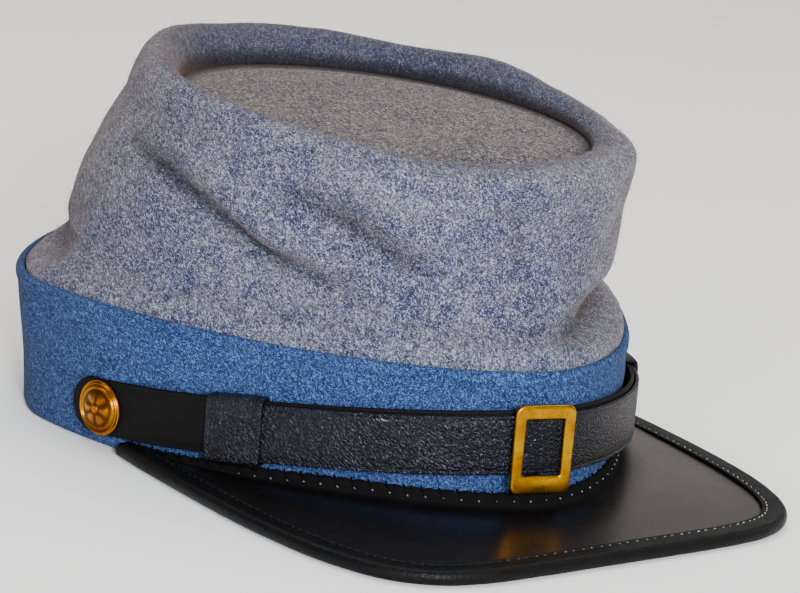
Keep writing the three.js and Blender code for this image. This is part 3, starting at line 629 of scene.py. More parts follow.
def brass_tarnish_group():
    """Old brass: warm patches, brown in the low places and hair-fine scratches."""
    tree, given, result = new_group("brass_tarnish", (
        ("Vector", "NodeSocketVector", None),
        ("Bright", "NodeSocketColor", (0.8, 0.5, 0.15, 1)),
        ("Warm", "NodeSocketColor", (0.7, 0.3, 0.05, 1)),
        ("Brown", "NodeSocketColor", (0.2, 0.08, 0.02, 1)),
        ("Patch Scale", "NodeSocketFloat", 220.0),
    ), (("Color", "NodeSocketColor"), ("Roughness", "NodeSocketFloat"), ("Height", "NodeSocketFloat")))
    vector = given.outputs["Vector"]
    patch = fitted(tree, noise_value(tree, vector, given.outputs["Patch Scale"], 3.0, 0.6), 0.4, 0.64)
    spots = fitted(tree, noise_value(tree, vector, 900.0, 2.0, 0.7), 0.58, 0.75)
    scratch = noise_value(tree, stretched(tree, vector, (0.2, 0.1, 0.6), (1.0, 20.0, 1.0)), 5200.0, 1.0)
    warm = mixed(tree, patch, given.outputs["Bright"], given.outputs["Warm"])
    colour = mixed(tree, math_value(tree, "MULTIPLY", spots, 0.45), warm, given.outputs["Brown"])
    rough = math_value(tree, "ADD", fitted(tree, patch, 0.0, 1.0, 0.2, 0.33),
                       math_value(tree, "MULTIPLY", spots, 0.2))
    tree.links.new(colour, result.inputs["Color"])
    tree.links.new(rough, result.inputs["Roughness"])
    tree.links.new(scratch, result.inputs["Height"])
    return tree


WOOL_NAP = wool_nap_group()
LEATHER_GRAIN = leather_grain_group()
BRASS_TARNISH = brass_tarnish_group()


def new_material(name, **shader_inputs):
    """A material with its shader and object coordinates. Uniform numbers go straight on the shader."""
    material = bpy.data.materials.new(name)
    material.use_nodes = True
    tree = material.node_tree
    shader = tree.nodes["Principled BSDF"]
    for socket_name, value in shader_inputs.items():
        shader.inputs[socket_name.replace("_", " ")].default_value = value
    place = tree.nodes.new("ShaderNodeTexCoord").outputs["Object"]
    return material, tree, shader, place


def placed_group(tree, group, place, values):
    """A shared effect put into a material, with the values that it has there."""
    made = add_node(tree, "ShaderNodeGroup", node_tree=group)
    tree.links.new(place, made.inputs["Vector"])
    for socket_name, value in values.items():
        made.inputs[socket_name].default_value = value
    return made


def mark_value(tree, mark):
    """A value that the mesh carries at each of its points."""
    return add_node(tree, "ShaderNodeAttribute", attribute_name=mark).outputs["Fac"]


def bumped(tree, shader, height, strength, distance):
    """Relief of a height on the shader, its depth in metres."""
    made = add_node(tree, "ShaderNodeBump", {"Strength": strength, "Distance": distance, "Height": height})
    tree.links.new(made.outputs["Normal"], shader.inputs["Normal"])


def painted_shade_in_folds(tree, colour, crease_shade_colour, crease_shade_share, hollow_shade_colour, hollow_shade_share):
    """Painted shade: darkens the cloth along its crease lines and seams, and in the hollow inside the
    rolled rim.
    """
    line = math_value(tree, "MULTIPLY", mark_value(tree, "crease_shade"), crease_shade_share)
    deep = math_value(tree, "MULTIPLY", mark_value(tree, "hollow_shade"), hollow_shade_share)
    return mixed(tree, line, mixed(tree, deep, colour, hollow_shade_colour), crease_shade_colour)


def wool_material(name, nap_values, sheen, sheen_tint, fold_shade=None):
    """Felted wool with its flecks, dust with painted shade towards the back, and soft sheen; painted shade
    in its folds where that is given.
    """
    material, tree, shader, place = new_material(
        name, Roughness=0.95, Specular_IOR_Level=0.12, Sheen_Weight=sheen, Sheen_Roughness=0.45,
        Sheen_Tint=sheen_tint)
    nap = placed_group(tree, WOOL_NAP, place, nap_values)
    colour = nap.outputs["Color"]
    if fold_shade is not None:
        colour = painted_shade_in_folds(tree, colour, *fold_shade)
    tree.links.new(colour, shader.inputs["Base Color"])
    bumped(tree, shader, nap.outputs["Height"], 0.55, 0.0006)
    return material


def leather_material(name, ground, toned, pebble_scale, pebble_depth, roughness):
    """Plain dull leather. Its roughness goes from sound to rubbed leather."""
    material, tree, shader, place = new_material(name, Specular_IOR_Level=0.1)
    grain = placed_group(tree, LEATHER_GRAIN, place, {"Pebble Scale": pebble_scale})
    colour = mixed(tree, math_value(tree, "MULTIPLY", grain.outputs["Rub"], 0.5), ground, toned)
    tree.links.new(colour, shader.inputs["Base Color"])
    rough = fitted(tree, grain.outputs["Rub"], 0.0, 1.0, *roughness)
    tree.links.new(rough, shader.inputs["Roughness"])
    bumped(tree, shader, grain.outputs["Pebble Height"], 0.8, pebble_depth)
    return material


def peak_leather_material():
    """Glossy lacquered plate whose upturned sewing edge is left dull."""
    material, tree, shader, place = new_material(
        "peak_leather", Specular_IOR_Level=0.08, Coat_Roughness=0.3, Coat_Tint=paint(246, 212, 180))
    grain = placed_group(tree, LEATHER_GRAIN, place, {"Pebble Scale": 2600.0})
    dull = mark_value(tree, "sewing_edge")
    rub = math_value(tree, "MULTIPLY", grain.outputs["Rub"], 0.5)
    tree.links.new(mixed(tree, rub, paint(8, 7, 8), paint(14, 12, 11)), shader.inputs["Base Color"])
    plate_rough = fitted(tree, grain.outputs["Rub"], 0.0, 1.0, 0.26, 0.4)
    rough = math_value(tree, "MAXIMUM", plate_rough, math_value(tree, "MULTIPLY", dull, 0.85))
    tree.links.new(rough, shader.inputs["Roughness"])
    tree.links.new(fitted(tree, dull, 0.0, 1.0, 0.8, 0.0), shader.inputs["Coat Weight"])
    bumped(tree, shader, grain.outputs["Pebble Height"], 0.8, 0.00003)
    return material


def strap_leather_material():
    """Black strap leather embossed with short raised strokes that slant down along the strap."""
    material, tree, shader, place = new_material(
        "strap_leather", IOR=1.36, Specular_Tint=paint(222, 226, 255))
    turn, reach, scale = SLANTED_STROKES
    slant = noise_value(tree, stretched(tree, place, turn, reach), scale, 1.0, 0.5, 0.4)
    turn, reach, scale = LEVEL_STROKES
    level = noise_value(tree, stretched(tree, place, turn, reach), scale, 1.0, 0.5, 0.3)
    strokes = math_value(tree, "MULTIPLY_ADD", slant, 0.65, math_value(tree, "MULTIPLY", level, 0.35))
    raised = fitted(tree, strokes, 0.38, 0.62)
    grain = placed_group(tree, LEATHER_GRAIN, place, {})
    rub = math_value(tree, "MULTIPLY", grain.outputs["Rub"], 0.5)
    # Painted warm sheen: the base colour turns brown towards the wearer's left, where the strap is also
    # rougher
    toned = fitted(tree, place_along(tree, place, "X"), *STRAP_SHEEN_AND_DULLING)
    black = mixed(tree, rub, paint(9, 10, 13), paint(18, 17, 20))
    tree.links.new(mixed(tree, toned, black, paint(24, 17, 12)), shader.inputs["Base Color"])
    gloss = fitted(tree, raised, 0.0, 1.0, 0.34, 0.17)
    tree.links.new(math_value(tree, "MULTIPLY_ADD", toned, 0.34, gloss), shader.inputs["Roughness"])
    bumped(tree, shader, raised, 1.0, 0.00026)
    return material


def brass_material(name, bright, warm, brown, patch_scale):
    """Old brass, browner and rougher where the mesh is marked as a low place."""
    material, tree, shader, place = new_material(name, Metallic=1.0)
    tarnish = placed_group(tree, BRASS_TARNISH, place, {
        "Bright": bright, "Warm": warm, "Brown": brown, "Patch Scale": patch_scale})
    low = mark_value(tree, "low_place")
    tree.links.new(mixed(tree, low, tarnish.outputs["Color"], brown), shader.inputs["Base Color"])
    tree.links.new(math_value(tree, "MULTIPLY_ADD", low, 0.2, tarnish.outputs["Roughness"]),
                   shader.inputs["Roughness"])
    bumped(tree, shader, tarnish.outputs["Height"], 0.15, 0.00008)
    return material


def thread_material(name, colour, dark, gloss, painted_shade_span=None):
    """Twisted thread. It may be darkened with painted shade up to one place across the cap, and shown in
    its own colour from another on.
    """
    material, tree, shader, place = new_material(name, Roughness=0.8, Specular_IOR_Level=gloss)
    twist = noise_value(tree, place, 2600.0, 2.0, 0.6)
    shown = mixed(tree, fitted(tree, twist, 0.4, 0.62), colour, dark)
    if painted_shade_span is not None:
        # Painted shade: the thread goes near black towards the wearer's right
        unshaded = fitted(tree, place_along(tree, place, "X"), *painted_shade_span)
        shown = mixed(tree, unshaded, paint(26, 25, 25), shown)
    tree.links.new(shown, shader.inputs["Base Color"])
    bumped(tree, shader, twist, 0.5, 0.0002)
    return material


# The last four values of the crown's and the top's wool are painted shade: the crease colour and its share,
# then the colour and share of the rim's hollow
crown_wool = wool_material("crown_wool", {
    "Ground": paint(82, 84, 97), "Light Fleck": paint(160, 165, 181), "Dark Fleck": paint(17, 18, 36),
    "Patch Tint": paint(50, 56, 80), "Fleck Scale": 1600.0, "Fleck Share": 0.84,
    "Dust And Shade": paint(78, 70, 66), "Dust And Shade Share": 0.34,
}, 0.18, paint(186, 154, 128), (paint(24, 20, 22), 0.8, paint(24, 34, 56), 0.5))
# The top's wool is painted darker than the crown's to offset the top lamp's light: painted shade
shaded_top_wool = wool_material("shaded_top_wool", {
    "Ground": paint(68, 65, 68), "Light Fleck": paint(150, 145, 146), "Dark Fleck": paint(8, 9, 22),
    "Patch Tint": paint(40, 42, 58), "Fleck Scale": 1300.0, "Fleck Share": 1.0,
    "Dust And Shade": paint(66, 62, 62), "Dust And Shade Share": 0.2,
}, 0.16, paint(180, 160, 146), (paint(10, 14, 26), 0.85, paint(24, 34, 56), 0.5))
band_wool = wool_material("band_wool", {
    "Ground": paint(34, 52, 92), "Light Fleck": paint(90, 122, 174), "Dark Fleck": paint(12, 20, 46),
    "Patch Tint": paint(24, 44, 82), "Fleck Scale": 1900.0, "Fleck Share": 0.9,
    "Dust And Shade": paint(38, 42, 52), "Dust And Shade Share": 0.62,
}, 0.05, paint(130, 150, 190))
peak_leather = peak_leather_material()
binding_leather = leather_material(
    "binding_leather", paint(7, 7, 8), paint(12, 11, 11), 1500.0, 0.0001, (0.42, 0.58))
rear_leather = leather_material(
    "rear_strap_leather", paint(8, 7, 8), paint(12, 11, 11), 2000.0, 0.00012, (0.6, 0.75))
strap_leather = strap_leather_material()
buckle_brass = brass_material(
    "buckle_brass", paint(176, 130, 4), paint(152, 96, 2), paint(84, 46, 2), 160.0)
button_brass = brass_material(
    "button_brass", paint(180, 118, 14), paint(150, 76, 4), paint(52, 22, 0), 130.0)
# The binding thread carries painted shade towards the wearer's right
seam_thread = thread_material("seam_thread", paint(150, 147, 142), paint(62, 59, 56), 0.3, (-0.04, 0.03))
# Light knot thread: its colour stands in for glints on the black whip thread, a painted highlight
knot_glint_thread = thread_material("knot_glint_thread", paint(122, 122, 130), paint(44, 44, 48), 0.3)
black_thread = thread_material("black_thread", paint(3, 3, 4), paint(6, 6, 7), 0.05)


# Crown: outer wall with its creases, rolled rim, then the inner wall back down

def crown_foot():
    """The crown's oval where it goes inside the band's top edge."""
    return band_oval(BAND_HEIGHT, -BAND_WALL - SEAT_GAP)


def crown_side_oval(position):
    """The crown's oval at a position counted in sections from the band."""
    shares = {name: along_rows(values, position) for name, values in CROWN_SECTIONS.items()}
    foot = crown_foot()
    return {
        "front": blend(foot["front"], RIM_LENGTH / 2, shares["along"]),
        "rear": blend(foot["rear"], RIM_LENGTH / 2, shares["along"]),
        "right": blend(foot["right"], RIM_WIDTH / 2, shares["across"]),
        "left": blend(foot["left"], RIM_WIDTH / 2, shares["across"]),
        "round_front": blend(BAND_FRONT_ROUNDNESS, RIM_ROUNDNESS, shares["level"]),
        "round_rear": blend(BAND_REAR_ROUNDNESS, RIM_ROUNDNESS, shares["level"]),
        "forward": blend(-BAND_SETBACK, RIM_FORWARD, shares["forward"]),
        "height": blend(BAND_HEIGHT, RIM_HEIGHT, shares["level"]),
        "pitch": RIM_PITCH * shares["pitch"],
    }


def roll_oval(share):
    """The rim rolls from its widest ring over the crest to the seam of the top."""
    inward = (1 - np.cos(share * math.pi)) / 2
    arch = np.sin(share * math.pi)
    reach = blend(RIM_LENGTH / 2, TOP_LENGTH / 2, inward)
    across = blend(RIM_WIDTH / 2, TOP_WIDTH / 2, inward)
    lift = (CREST_HEIGHT - max(RIM_HEIGHT, TOP_HEIGHT)) * arch
    return {
        "front": reach, "rear": reach, "right": across, "left": across,
        "round_front": RIM_ROUNDNESS, "round_rear": RIM_ROUNDNESS,
        "forward": blend(RIM_FORWARD, TOP_FORWARD, inward),
        "height": blend(RIM_HEIGHT, TOP_HEIGHT + SEAT_GAP, inward) + lift,
        "pitch": blend(blend(RIM_PITCH, TOP_PITCH, inward), CREST_PITCH, arch),
    }


def crease_marks(turn, level):
    """How far the creases push the cloth in, less the lips above them, and how strongly they are darkened
    with painted shade.
    """
    per_degree = math.radians((RIM_LENGTH + RIM_WIDTH) / 4)
    rise = RIM_HEIGHT - BAND_HEIGHT
    across, up = np.broadcast_arrays(np.degrees(turn) * per_degree, level * rise)
    total = np.zeros(across.shape)
    line = np.zeros(across.shape)
    for crease in CREASES:
        path_x = np.array(crease["turn"]) * per_degree
        path_y = np.array(crease["level"]) * rise
        nearest = np.full(across.shape, 1e9)
        signed = np.zeros(across.shape)
        depth = np.zeros(across.shape)
        for index in range(len(path_x) - 1):
            run = np.array([path_x[index + 1] - path_x[index], path_y[index + 1] - path_y[index]])
            square = run @ run
            off_x, off_y = across - path_x[index], up - path_y[index]
            share = np.clip((off_x * run[0] + off_y * run[1]) / square, 0, 1)
            distance = np.hypot(off_x - share * run[0], off_y - share * run[1])
            side = np.sign(run[0] * off_y - run[1] * off_x) * math.copysign(1, run[0])
            closer = distance < nearest
            nearest = np.where(closer, distance, nearest)
            signed = np.where(closer, distance * side, signed)
            start, end = crease["depth"][index], crease["depth"][index + 1]
            depth = np.where(closer, blend(start, end, smooth_share(share)), depth)
        width = crease["width"]
        valley = SHARP_VALLEY_SHARE * np.exp(-(signed / width) ** 2)
        valley += (1 - SHARP_VALLEY_SHARE) * np.exp(-(signed / (BROAD_VALLEY_REACH * width)) ** 2)
        lip = np.exp(-((signed - LIP_AWAY * width) / (LIP_REACH * width)) ** 2)
        total += depth * (valley - crease["lip"] / max(crease["depth"]) * lip)
        sharp = np.exp(-((signed + SHARP_LINE_SHIFT * width) / (SHARP_LINE_REACH * width)) ** 2)
        broad = np.exp(-(signed / (BROAD_LINE_REACH * width)) ** 2)
        trace = blend(broad, sharp, SHARP_LINE_SHARE)
        line = np.maximum(line, np.clip(depth / FULL_LINE_DEPTH, 0, 1) * trace)
    return total, line


def swell_height(turn, level):
    """How far the swells push the cloth out at each place."""
    total = np.zeros(np.broadcast(turn, level).shape)
    for place, height, turn_reach, level_reach, out in zip(*SWELLS.values()):
        away = (np.degrees(turn) - place + 180) % 360 - 180
        total += out * np.exp(-(away / turn_reach) ** 2 - ((level - height) / level_reach) ** 2)
    return total


def wall_inside(grid, wall, step):
    """The rows of a wall's inner face, from the top row down, every few rows."""
    normals = surface_normals(grid, False, True)
    outward = np.sign((normals * (grid - grid.mean((0, 1)))).sum())
    normals[0, :, 2] = 0
    normals[-1, :, 2] = 0
    normals /= np.linalg.norm(normals, axis=-1, keepdims=True) + 1e-9
    inner = grid - normals * outward * wall
    kept = list(range(0, len(grid), step))
    if kept[-1] != len(grid) - 1:
        kept.append(len(grid) - 1)
    return inner[kept][::-1]


def crown_outer_grid():
    """The crown's outer face from its tucked foot up over the rim, and its painted shade in the creases, at
    the top's seam and in the rim's hollow.
    """
    turn = np.linspace(-math.pi, math.pi, CROWN_COLUMNS, endpoint=False)[None, :]
    position = np.linspace(0, len(CROWN_SECTIONS["level"]) - 1, CROWN_SIDE_ROWS)[:, None]
    side_level = along_rows(CROWN_SECTIONS["level"], position)
    share = np.linspace(0, 1, CROWN_ROLL_ROWS + 1)[1:, None]
    roll = oval_point(turn, roll_oval(share))
    arch = np.sin(share * math.pi)
    roll[..., 2] += look_up(CREST_WAVES, "rise", np.degrees(turn)) * arch
    bulge = np.exp(-((np.degrees(turn) - RIM_BULGE["turn"]) / RIM_BULGE["turn_reach"]) ** 2)
    bulge = RIM_BULGE["out"] * bulge * arch
    roll[..., :2] += bulge[..., None] * np.stack([-np.sin(turn), np.cos(turn)], -1)
    grid = np.concatenate([oval_point(turn, crown_side_oval(position)), roll])
    level = np.concatenate([side_level, 1 + 0.25 * share])
    inward = np.concatenate([0 * side_level, (1 - np.cos(share * math.pi)) / 2])
    normals = surface_normals(grid, False, True)
    from_middle = grid - grid.mean(1, keepdims=True)
    normals *= np.sign((normals[:CROWN_SIDE_ROWS] * from_middle[:CROWN_SIDE_ROWS]).sum())
    push, line = crease_marks(turn, level)
    shape = lumps(grid, CROWN_LUMPS) + swell_height(turn, level) - push
    hold = smooth_share(level / 0.1) * (1 - inward) + 0.25 * inward
    seam = smooth_share((inward - 0.75) / 0.25)
    pucker = 0.3 * np.sin(turn * 46 + 2.0 * np.sin(turn * 7)) * seam * (1 - seam) * 4
    grid = grid + normals * (shape * hold * (1 - seam) + pucker)[..., None]
    tuck_height = BAND_HEIGHT - np.array([[CROWN_TUCK], [CROWN_TUCK / 2]])
    tuck = oval_point(turn, band_oval(tuck_height, -BAND_WALL - SEAT_GAP))
    unmarked = np.zeros(tuck.shape[:2])
    # Painted shade along the creases and at the seam of the top
    line = np.maximum(line * hold, smooth_share((inward - 0.93) / 0.07))
    # Painted shade over the roll's inner wall, down in the hollow of the rim
    deep = np.broadcast_to(smooth_share((inward - 0.3) / 0.35), line.shape)
    marks = {"crease_shade": np.concatenate([unmarked, line]), "hollow_shade": np.concatenate([unmarked, deep])}
    return np.concatenate([tuck, grid]), marks


crown_grid, crown_marks = crown_outer_grid()
new_piece("crown_cloth", [shell(np.concatenate([crown_grid, wall_inside(crown_grid, CROWN_WALL, 3)]))],
          crown_wool, ("crown_side",), crown_marks)


def top_oval(share, lift):
    """Oval of the top at a share of the way from its edge to its middle."""
    length = (TOP_LENGTH / 2 + TOP_SEAM) * (1 - share)
    width = (TOP_WIDTH / 2 + TOP_SEAM) * (1 - share)
    return {
        "front": length, "rear": length, "right": width, "left": width,
        "round_front": RIM_ROUNDNESS, "round_rear": RIM_ROUNDNESS,
        "forward": TOP_FORWARD, "height": TOP_HEIGHT + lift, "pitch": TOP_PITCH,
    }


def crown_top_parts():
    """The sunken top: its upper face from the middle to the seam, then its underside back."""
    turn = np.linspace(-math.pi, math.pi, TOP_COLUMNS, endpoint=False)[None, :]
    share = np.concatenate([np.linspace(0, 0.12, 10), np.linspace(0.17, 0.98, 26)])[:, None]
    dish = TOP_CROWN * np.sin(share * math.pi / 2) - 0.5 * np.exp(-((share - 0.08) / 0.05) ** 2)
    upper = oval_point(turn, top_oval(share, dish))
    free = smooth_share((share - 0.03) / 0.15)
    upper[..., 2] += lumps(upper, TOP_LUMPS) * free
    lower_share = np.linspace(0.98, 0, 8)[:, None]
    lower = oval_point(turn, top_oval(lower_share, -TOP_WALL + 0.8 * TOP_CROWN * lower_share))
    # Painted shade in the seam at the top's edge, for both shade marks
    line = np.broadcast_to(np.exp(-((share - 0.03) / 0.045) ** 2), upper.shape[:2])
    marks = {"crease_shade": line[::-1], "hollow_shade": 0.8 * line[::-1]}
    return sweep(np.concatenate([upper[::-1], lower[::-1]])), marks


top_disc, top_marks = crown_top_parts()
new_piece("crown_top_disc", [top_disc], shaded_top_wool, ("crown_top",), top_marks)


# Band: cloth wall with a turned hem at the top edge

def band_grid():
    """The band's wall: hollowed a little outside, with a hem at its top edge, and slack in one place."""
    turn = np.linspace(-math.pi, math.pi, BAND_COLUMNS, endpoint=False)[None, :]
    profile = list(BAND_LOWER_EDGE)
    profile += [(height, -BAND_HOLLOW * math.sin(math.pi * min(height / 30, 1.0)))
                for height in np.linspace(3, 32, 12)]
    profile += BAND_HEM
    profile += [(height, -BAND_WALL) for height in np.linspace(37, 2, BAND_INSIDE_ROWS)]
    profile += BAND_INSIDE_EDGE
    rows = [oval_point(turn, band_oval(height, outset)) for height, outset in profile]
    grid = np.concatenate([row.reshape(1, -1, 3) for row in rows])
    middle = np.array([0.0, 0.0, BAND_HEIGHT / 2])
    outward = grid - middle
    outward[..., 2] = 0
    outward /= np.linalg.norm(outward, axis=-1, keepdims=True)
    free = np.sin(np.clip(grid[..., 2] / BAND_HEIGHT, 0, 1) * math.pi)[..., None]
    inside_rows = BAND_INSIDE_ROWS + len(BAND_INSIDE_EDGE) + 1
    outer = (np.arange(len(profile)) < len(profile) - inside_rows)[:, None, None]
    lumpy = lumps(grid, BAND_LUMPS)[..., None] * free * outer
    slack = np.exp(-((np.degrees(turn) - BAND_SLACK["turn"]) / BAND_SLACK["turn_reach"]) ** 2)
    slack = slack * smooth_share((grid[..., 2] - BAND_SLACK["from_height"]) / BAND_SLACK["height_reach"])
    grid = grid + outward * (lumpy - BAND_SLACK["inward"] * slack[..., None])
    grid[..., 2] -= BAND_SLACK["drop"] * slack
    return grid


new_piece("band_cloth", [shell(band_grid())], band_wool, ("band",))


# Peak: its free edge from the wearer's right tip to the left one, evenly spaced

def band_feet():
    """Points on the floor just outside the peak's sewing edge, close together."""
    turn = np.linspace(-math.pi / 2, math.pi / 2, 1441)
    return turn, oval_point(turn, band_oval(0.0, FLANGE_GAP + FLANGE_WALL))[:, :2]


def peak_outline(stations):
    """The free edge: its points, ways out and along, the binding's lap, and where it meets the band."""
    turn = np.radians(np.linspace(-88, 88, 6001))
    front_line = BAND_FRONT_REACH - BAND_SETBACK + PEAK_REACH
    root_line = BAND_FRONT_REACH - BAND_SETBACK - PEAK_ROOT_SETBACK
    power = 2 / PEAK_CORNER
    reach = np.where(turn < 0, PEAK_RIGHT_REACH, PEAK_LEFT_REACH)
    edge = np.stack([reach * np.sign(turn) * np.abs(np.sin(turn)) ** power,
                     -root_line - (front_line - root_line) * np.cos(turn) ** power], -1)
    edge = edge[edge[:, 1] < 0]
    foot_turn, feet = band_feet()
    nearest = np.array([np.argmin(((feet - point) ** 2).sum(1)) for point in edge])
    room = np.linalg.norm(feet[nearest] - edge, axis=1)
    outside = np.linalg.norm(edge, axis=1) > np.linalg.norm(feet[nearest], axis=1)
    kept = outside & (room > BINDING_NOSE + SEAT_GAP + PEAK_TIP_LAP)
    edge, room, beside = edge[kept], room[kept], foot_turn[nearest][kept]
    length = np.concatenate([[0], np.cumsum(np.linalg.norm(np.diff(edge, axis=0), axis=1))])
    wanted = np.linspace(0, length[-1], stations)
    points = np.stack([np.interp(wanted, length, edge[:, axis]) for axis in (0, 1)], -1)
    along = np.gradient(points, axis=0)
    along /= np.linalg.norm(along, axis=1, keepdims=True)
    outward = np.stack([along[:, 1], -along[:, 0]], -1)
    lap = np.minimum(BINDING_LAP, np.interp(wanted, length, room) - BINDING_NOSE - SEAT_GAP)
    return {"points": points, "outward": outward, "along": along, "lap": lap, "wanted": wanted,
            "start": beside[0], "end": beside[-1]}


free_edge = peak_outline(PEAK_STATIONS)


def peak_root(turn):
    """Taper, flange height and plate lift beside the band at a turn."""
    first, last = (math.radians(degrees) for degrees in FLANGE_TAPER)
    taper = smooth_share((np.abs(turn) - first) / (last - first))
    return blend(FLANGE_HEIGHT, FLANGE_TIP_HEIGHT, taper), PEAK_ROOT_LIFT * (1 - taper)


def arc_share(turn):
    """Share of the flange's length that lies before each turn."""
    feet = oval_point(turn, band_oval(0.0, FLANGE_GAP + FLANGE_WALL))
    length = np.concatenate([[0], np.cumsum(np.linalg.norm(np.diff(feet, axis=0), axis=1))])
    return length / length[-1]


def peak_grid():
    """Sections of the peak from tip to tip: sewing edge, plate, free edge, underside."""
    turn = np.linspace(free_edge["start"], free_edge["end"], PEAK_STATIONS)
    flange, lift = peak_root(turn)
    phase = arc_share(turn) * SCALLOPS * math.pi
    scallop = 0.55 * np.abs(np.sin(phase)) - 0.45
    dimple = 0.28 * np.abs(np.sin(phase)) ** 2
    flange_top = flange + scallop
    edge = free_edge["points"] - free_edge["outward"] * BINDING_NOSE

    def at(outset, share, height, lifted=1.0):
        foot = oval_point(turn, band_oval(0.0, outset))[:, :2]
        ground = blend(foot, edge, share)
        raised = lift * max(0.75 - share, 0) / 0.75 * lifted
        return np.column_stack([ground, height + raised])

    inner, outer = FLANGE_GAP, FLANGE_GAP + FLANGE_WALL
    rows = [at(inner, 0, PEAK_BOTTOM), at(inner, 0, flange_top - 0.5, 0),
            at(inner + 0.35, 0, flange_top, 0),
            at(inner + 0.8, 0, flange_top - 0.1, 0), at(outer + dimple, 0, flange_top - 0.8, 0),
            at(outer + dimple, 0, blend(flange_top, PEAK_TOP + lift, 0.5), 0),
            at(outer + 0.15, 0, PEAK_TOP + 0.7), at(outer + 0.6, 0, PEAK_TOP + 0.2)]
    plate = len(rows)
    rows += [at(outer, share, PEAK_TOP + PLATE_DOME * math.sin(math.pi * share)) for share in PLATE_SHARES]
    rows += [at(outer, share, PEAK_BOTTOM + PLATE_DOME * math.sin(math.pi * share))
             for share in UNDERSIDE_SHARES]
    grid = np.stack(rows, axis=1)
    upper = slice(plate - 1, plate + len(PLATE_SHARES) - 1)
    grid[:, upper, 2] += lumps(grid[:, upper], PEAK_LUMPS)
    sewing_edge = np.zeros(grid.shape[:2])
    sewing_edge[:, :plate + 1] = 1.0
    sewing_edge[:, plate + 1] = 0.4
    return grid, {"sewing_edge": sewing_edge}


peak_rows, peak_marks = peak_grid()
new_piece("peak_leather", [sweep(peak_rows)], peak_leather, ("peak",), peak_marks)


def binding_section(lap):
    """Section of the binding at one station: across (out is positive) and height."""
    top = BINDING_TOP
    slot = SEAT_GAP
    nose = [(slot + (BINDING_NOSE - slot) * math.cos(turn), top / 2 + top / 2 * math.sin(turn))
            for turn in np.linspace(0.5, -0.5, 15) * math.pi]
    groove = 0.22 * min(lap / BINDING_LAP, 1)
    upper = [(-lap, top - BINDING_WALL + 0.1), (-lap + 0.08, top - 0.3), (-lap + 0.35, top - 0.06)]
    upper += [(-lap * share, top - groove * math.exp(-((share - BINDING_SEAM) / 0.09) ** 2)) for share in
              (0.9, 0.82, 0.76, BINDING_SEAM, 0.68, 0.62, 0.5, 0.3, 0.1)]
    lower = [(-lap, 0.0), (-lap, BINDING_WALL), (slot, BINDING_WALL), (slot, top - BINDING_WALL)]
    return np.array(nose + lower + upper)


def binding_grid():
    """The binding's sections along the peak's free edge."""
    rows = []
    for point, outward, lap in zip(free_edge["points"], free_edge["outward"], free_edge["lap"]):
        section = binding_section(lap)
        across = section[:, :1] - BINDING_NOSE
        rows.append(np.column_stack([point + outward * across, section[:, 1]]))
    grid = np.stack(rows)
    normals = surface_normals(grid, False, True)
    grid += normals * lumps(grid, BINDING_LUMPS)[..., None]
    return grid


new_piece("peak_binding_roll", [sweep(binding_grid())], binding_leather, ("peak_binding",))


# Stitches: short bent threads that go into the leather at both ends

def stitch(start, end, up, radius, rise):
    """One thread between two points, arched up between them."""
    start, end, up = (np.asarray(v, float) for v in (start, end, up))
    along = (end - start) / np.linalg.norm(end - start)
    side = np.cross(along, up)
    side /= np.linalg.norm(side)
    over = np.cross(side, along)
    rings = []
    for share in np.linspace(0, 1, 7):
        centre = blend(start, end, share) + over * (rise * math.sin(math.pi * share) - radius * 0.9)
        thick = radius * (0.55 + 0.45 * math.sin(math.pi * share))
        rings.append([centre + thick * (side * math.cos(turn) + over * math.sin(turn))
                      for turn in np.linspace(0, 2 * math.pi, 8, endpoint=False)])
    return sweep(np.array(rings))


def binding_stitches():
    """Running stitches in the binding's seam, pulled deeper at the wearer's right."""
    parts = []
    total = free_edge["wanted"][-1]
    for wanted in np.arange(4.0, total - 4.0, STITCH_SPACING):
        index = int(wanted / total * (PEAK_STATIONS - 1))
        lap = free_edge["lap"][index]
        if lap < STITCH_SHORTEST_LAP:
            continue
        inset = BINDING_NOSE + lap * BINDING_SEAM
        centre = free_edge["points"][index] - free_edge["outward"][index] * inset
        along = free_edge["along"][index]
        height = BINDING_TOP - 0.12
        start, end = centre - along * STITCH_LENGTH / 2, centre + along * STITCH_LENGTH / 2
        pulled = 0.09 * (1 - smooth_share(centre[0] / 30)) + 0.04 * math.sin(wanted * 1.7)
        parts.append(stitch([*start, height - pulled], [*end, height - pulled], (0, 0, 1),
                            STITCH_RADIUS, STITCH_RISE))
    return parts


new_piece("binding_stitches", binding_stitches(), seam_thread)


def flange_stitches():
    """Whip stitches between the scallops, from the band down over the flange's face."""
    parts, knots = [], []
    every = np.linspace(free_edge["start"], free_edge["end"], PEAK_STATIONS)
    turns = np.interp(np.arange(1, SCALLOPS) / SCALLOPS, arc_share(every), every)
    flange, _ = peak_root(turns)
    for turn, top in zip(turns, flange):
        on_band = oval_point(turn, band_oval(top + 0.5, 0.05))
        over = oval_point(turn + 0.006, band_oval(0.0, FLANGE_GAP + FLANGE_WALL + 0.25))
        outward = over - oval_point(turn + 0.006, band_oval(0.0, 0.0))
        outward[2] = 0
        on_band[2], over[2] = top + 0.45, top - 1.9
        parts.append(stitch(on_band, over, outward + np.array([0, 0, 0.8]), WHIP_RADIUS, WHIP_RISE))
        # The knots are light thread whose colour stands in for glints on the black whip stitches: a painted
        # highlight
        knot_end = oval_point(turn + 0.011, band_oval(0.0, FLANGE_GAP + FLANGE_WALL + 0.3))
        knot_end[2] = top - 2.2 - 0.25 * math.sin(turn * 37)
        knots.append(stitch(over, knot_end, outward, 0.22 + 0.05 * math.sin(turn * 53), KNOT_RISE))
    return parts, knots


whip_parts, knot_parts = flange_stitches()
new_piece("flange_whip_stitches", whip_parts, black_thread)
new_piece("flange_thread_knots", knot_parts, knot_glint_thread)


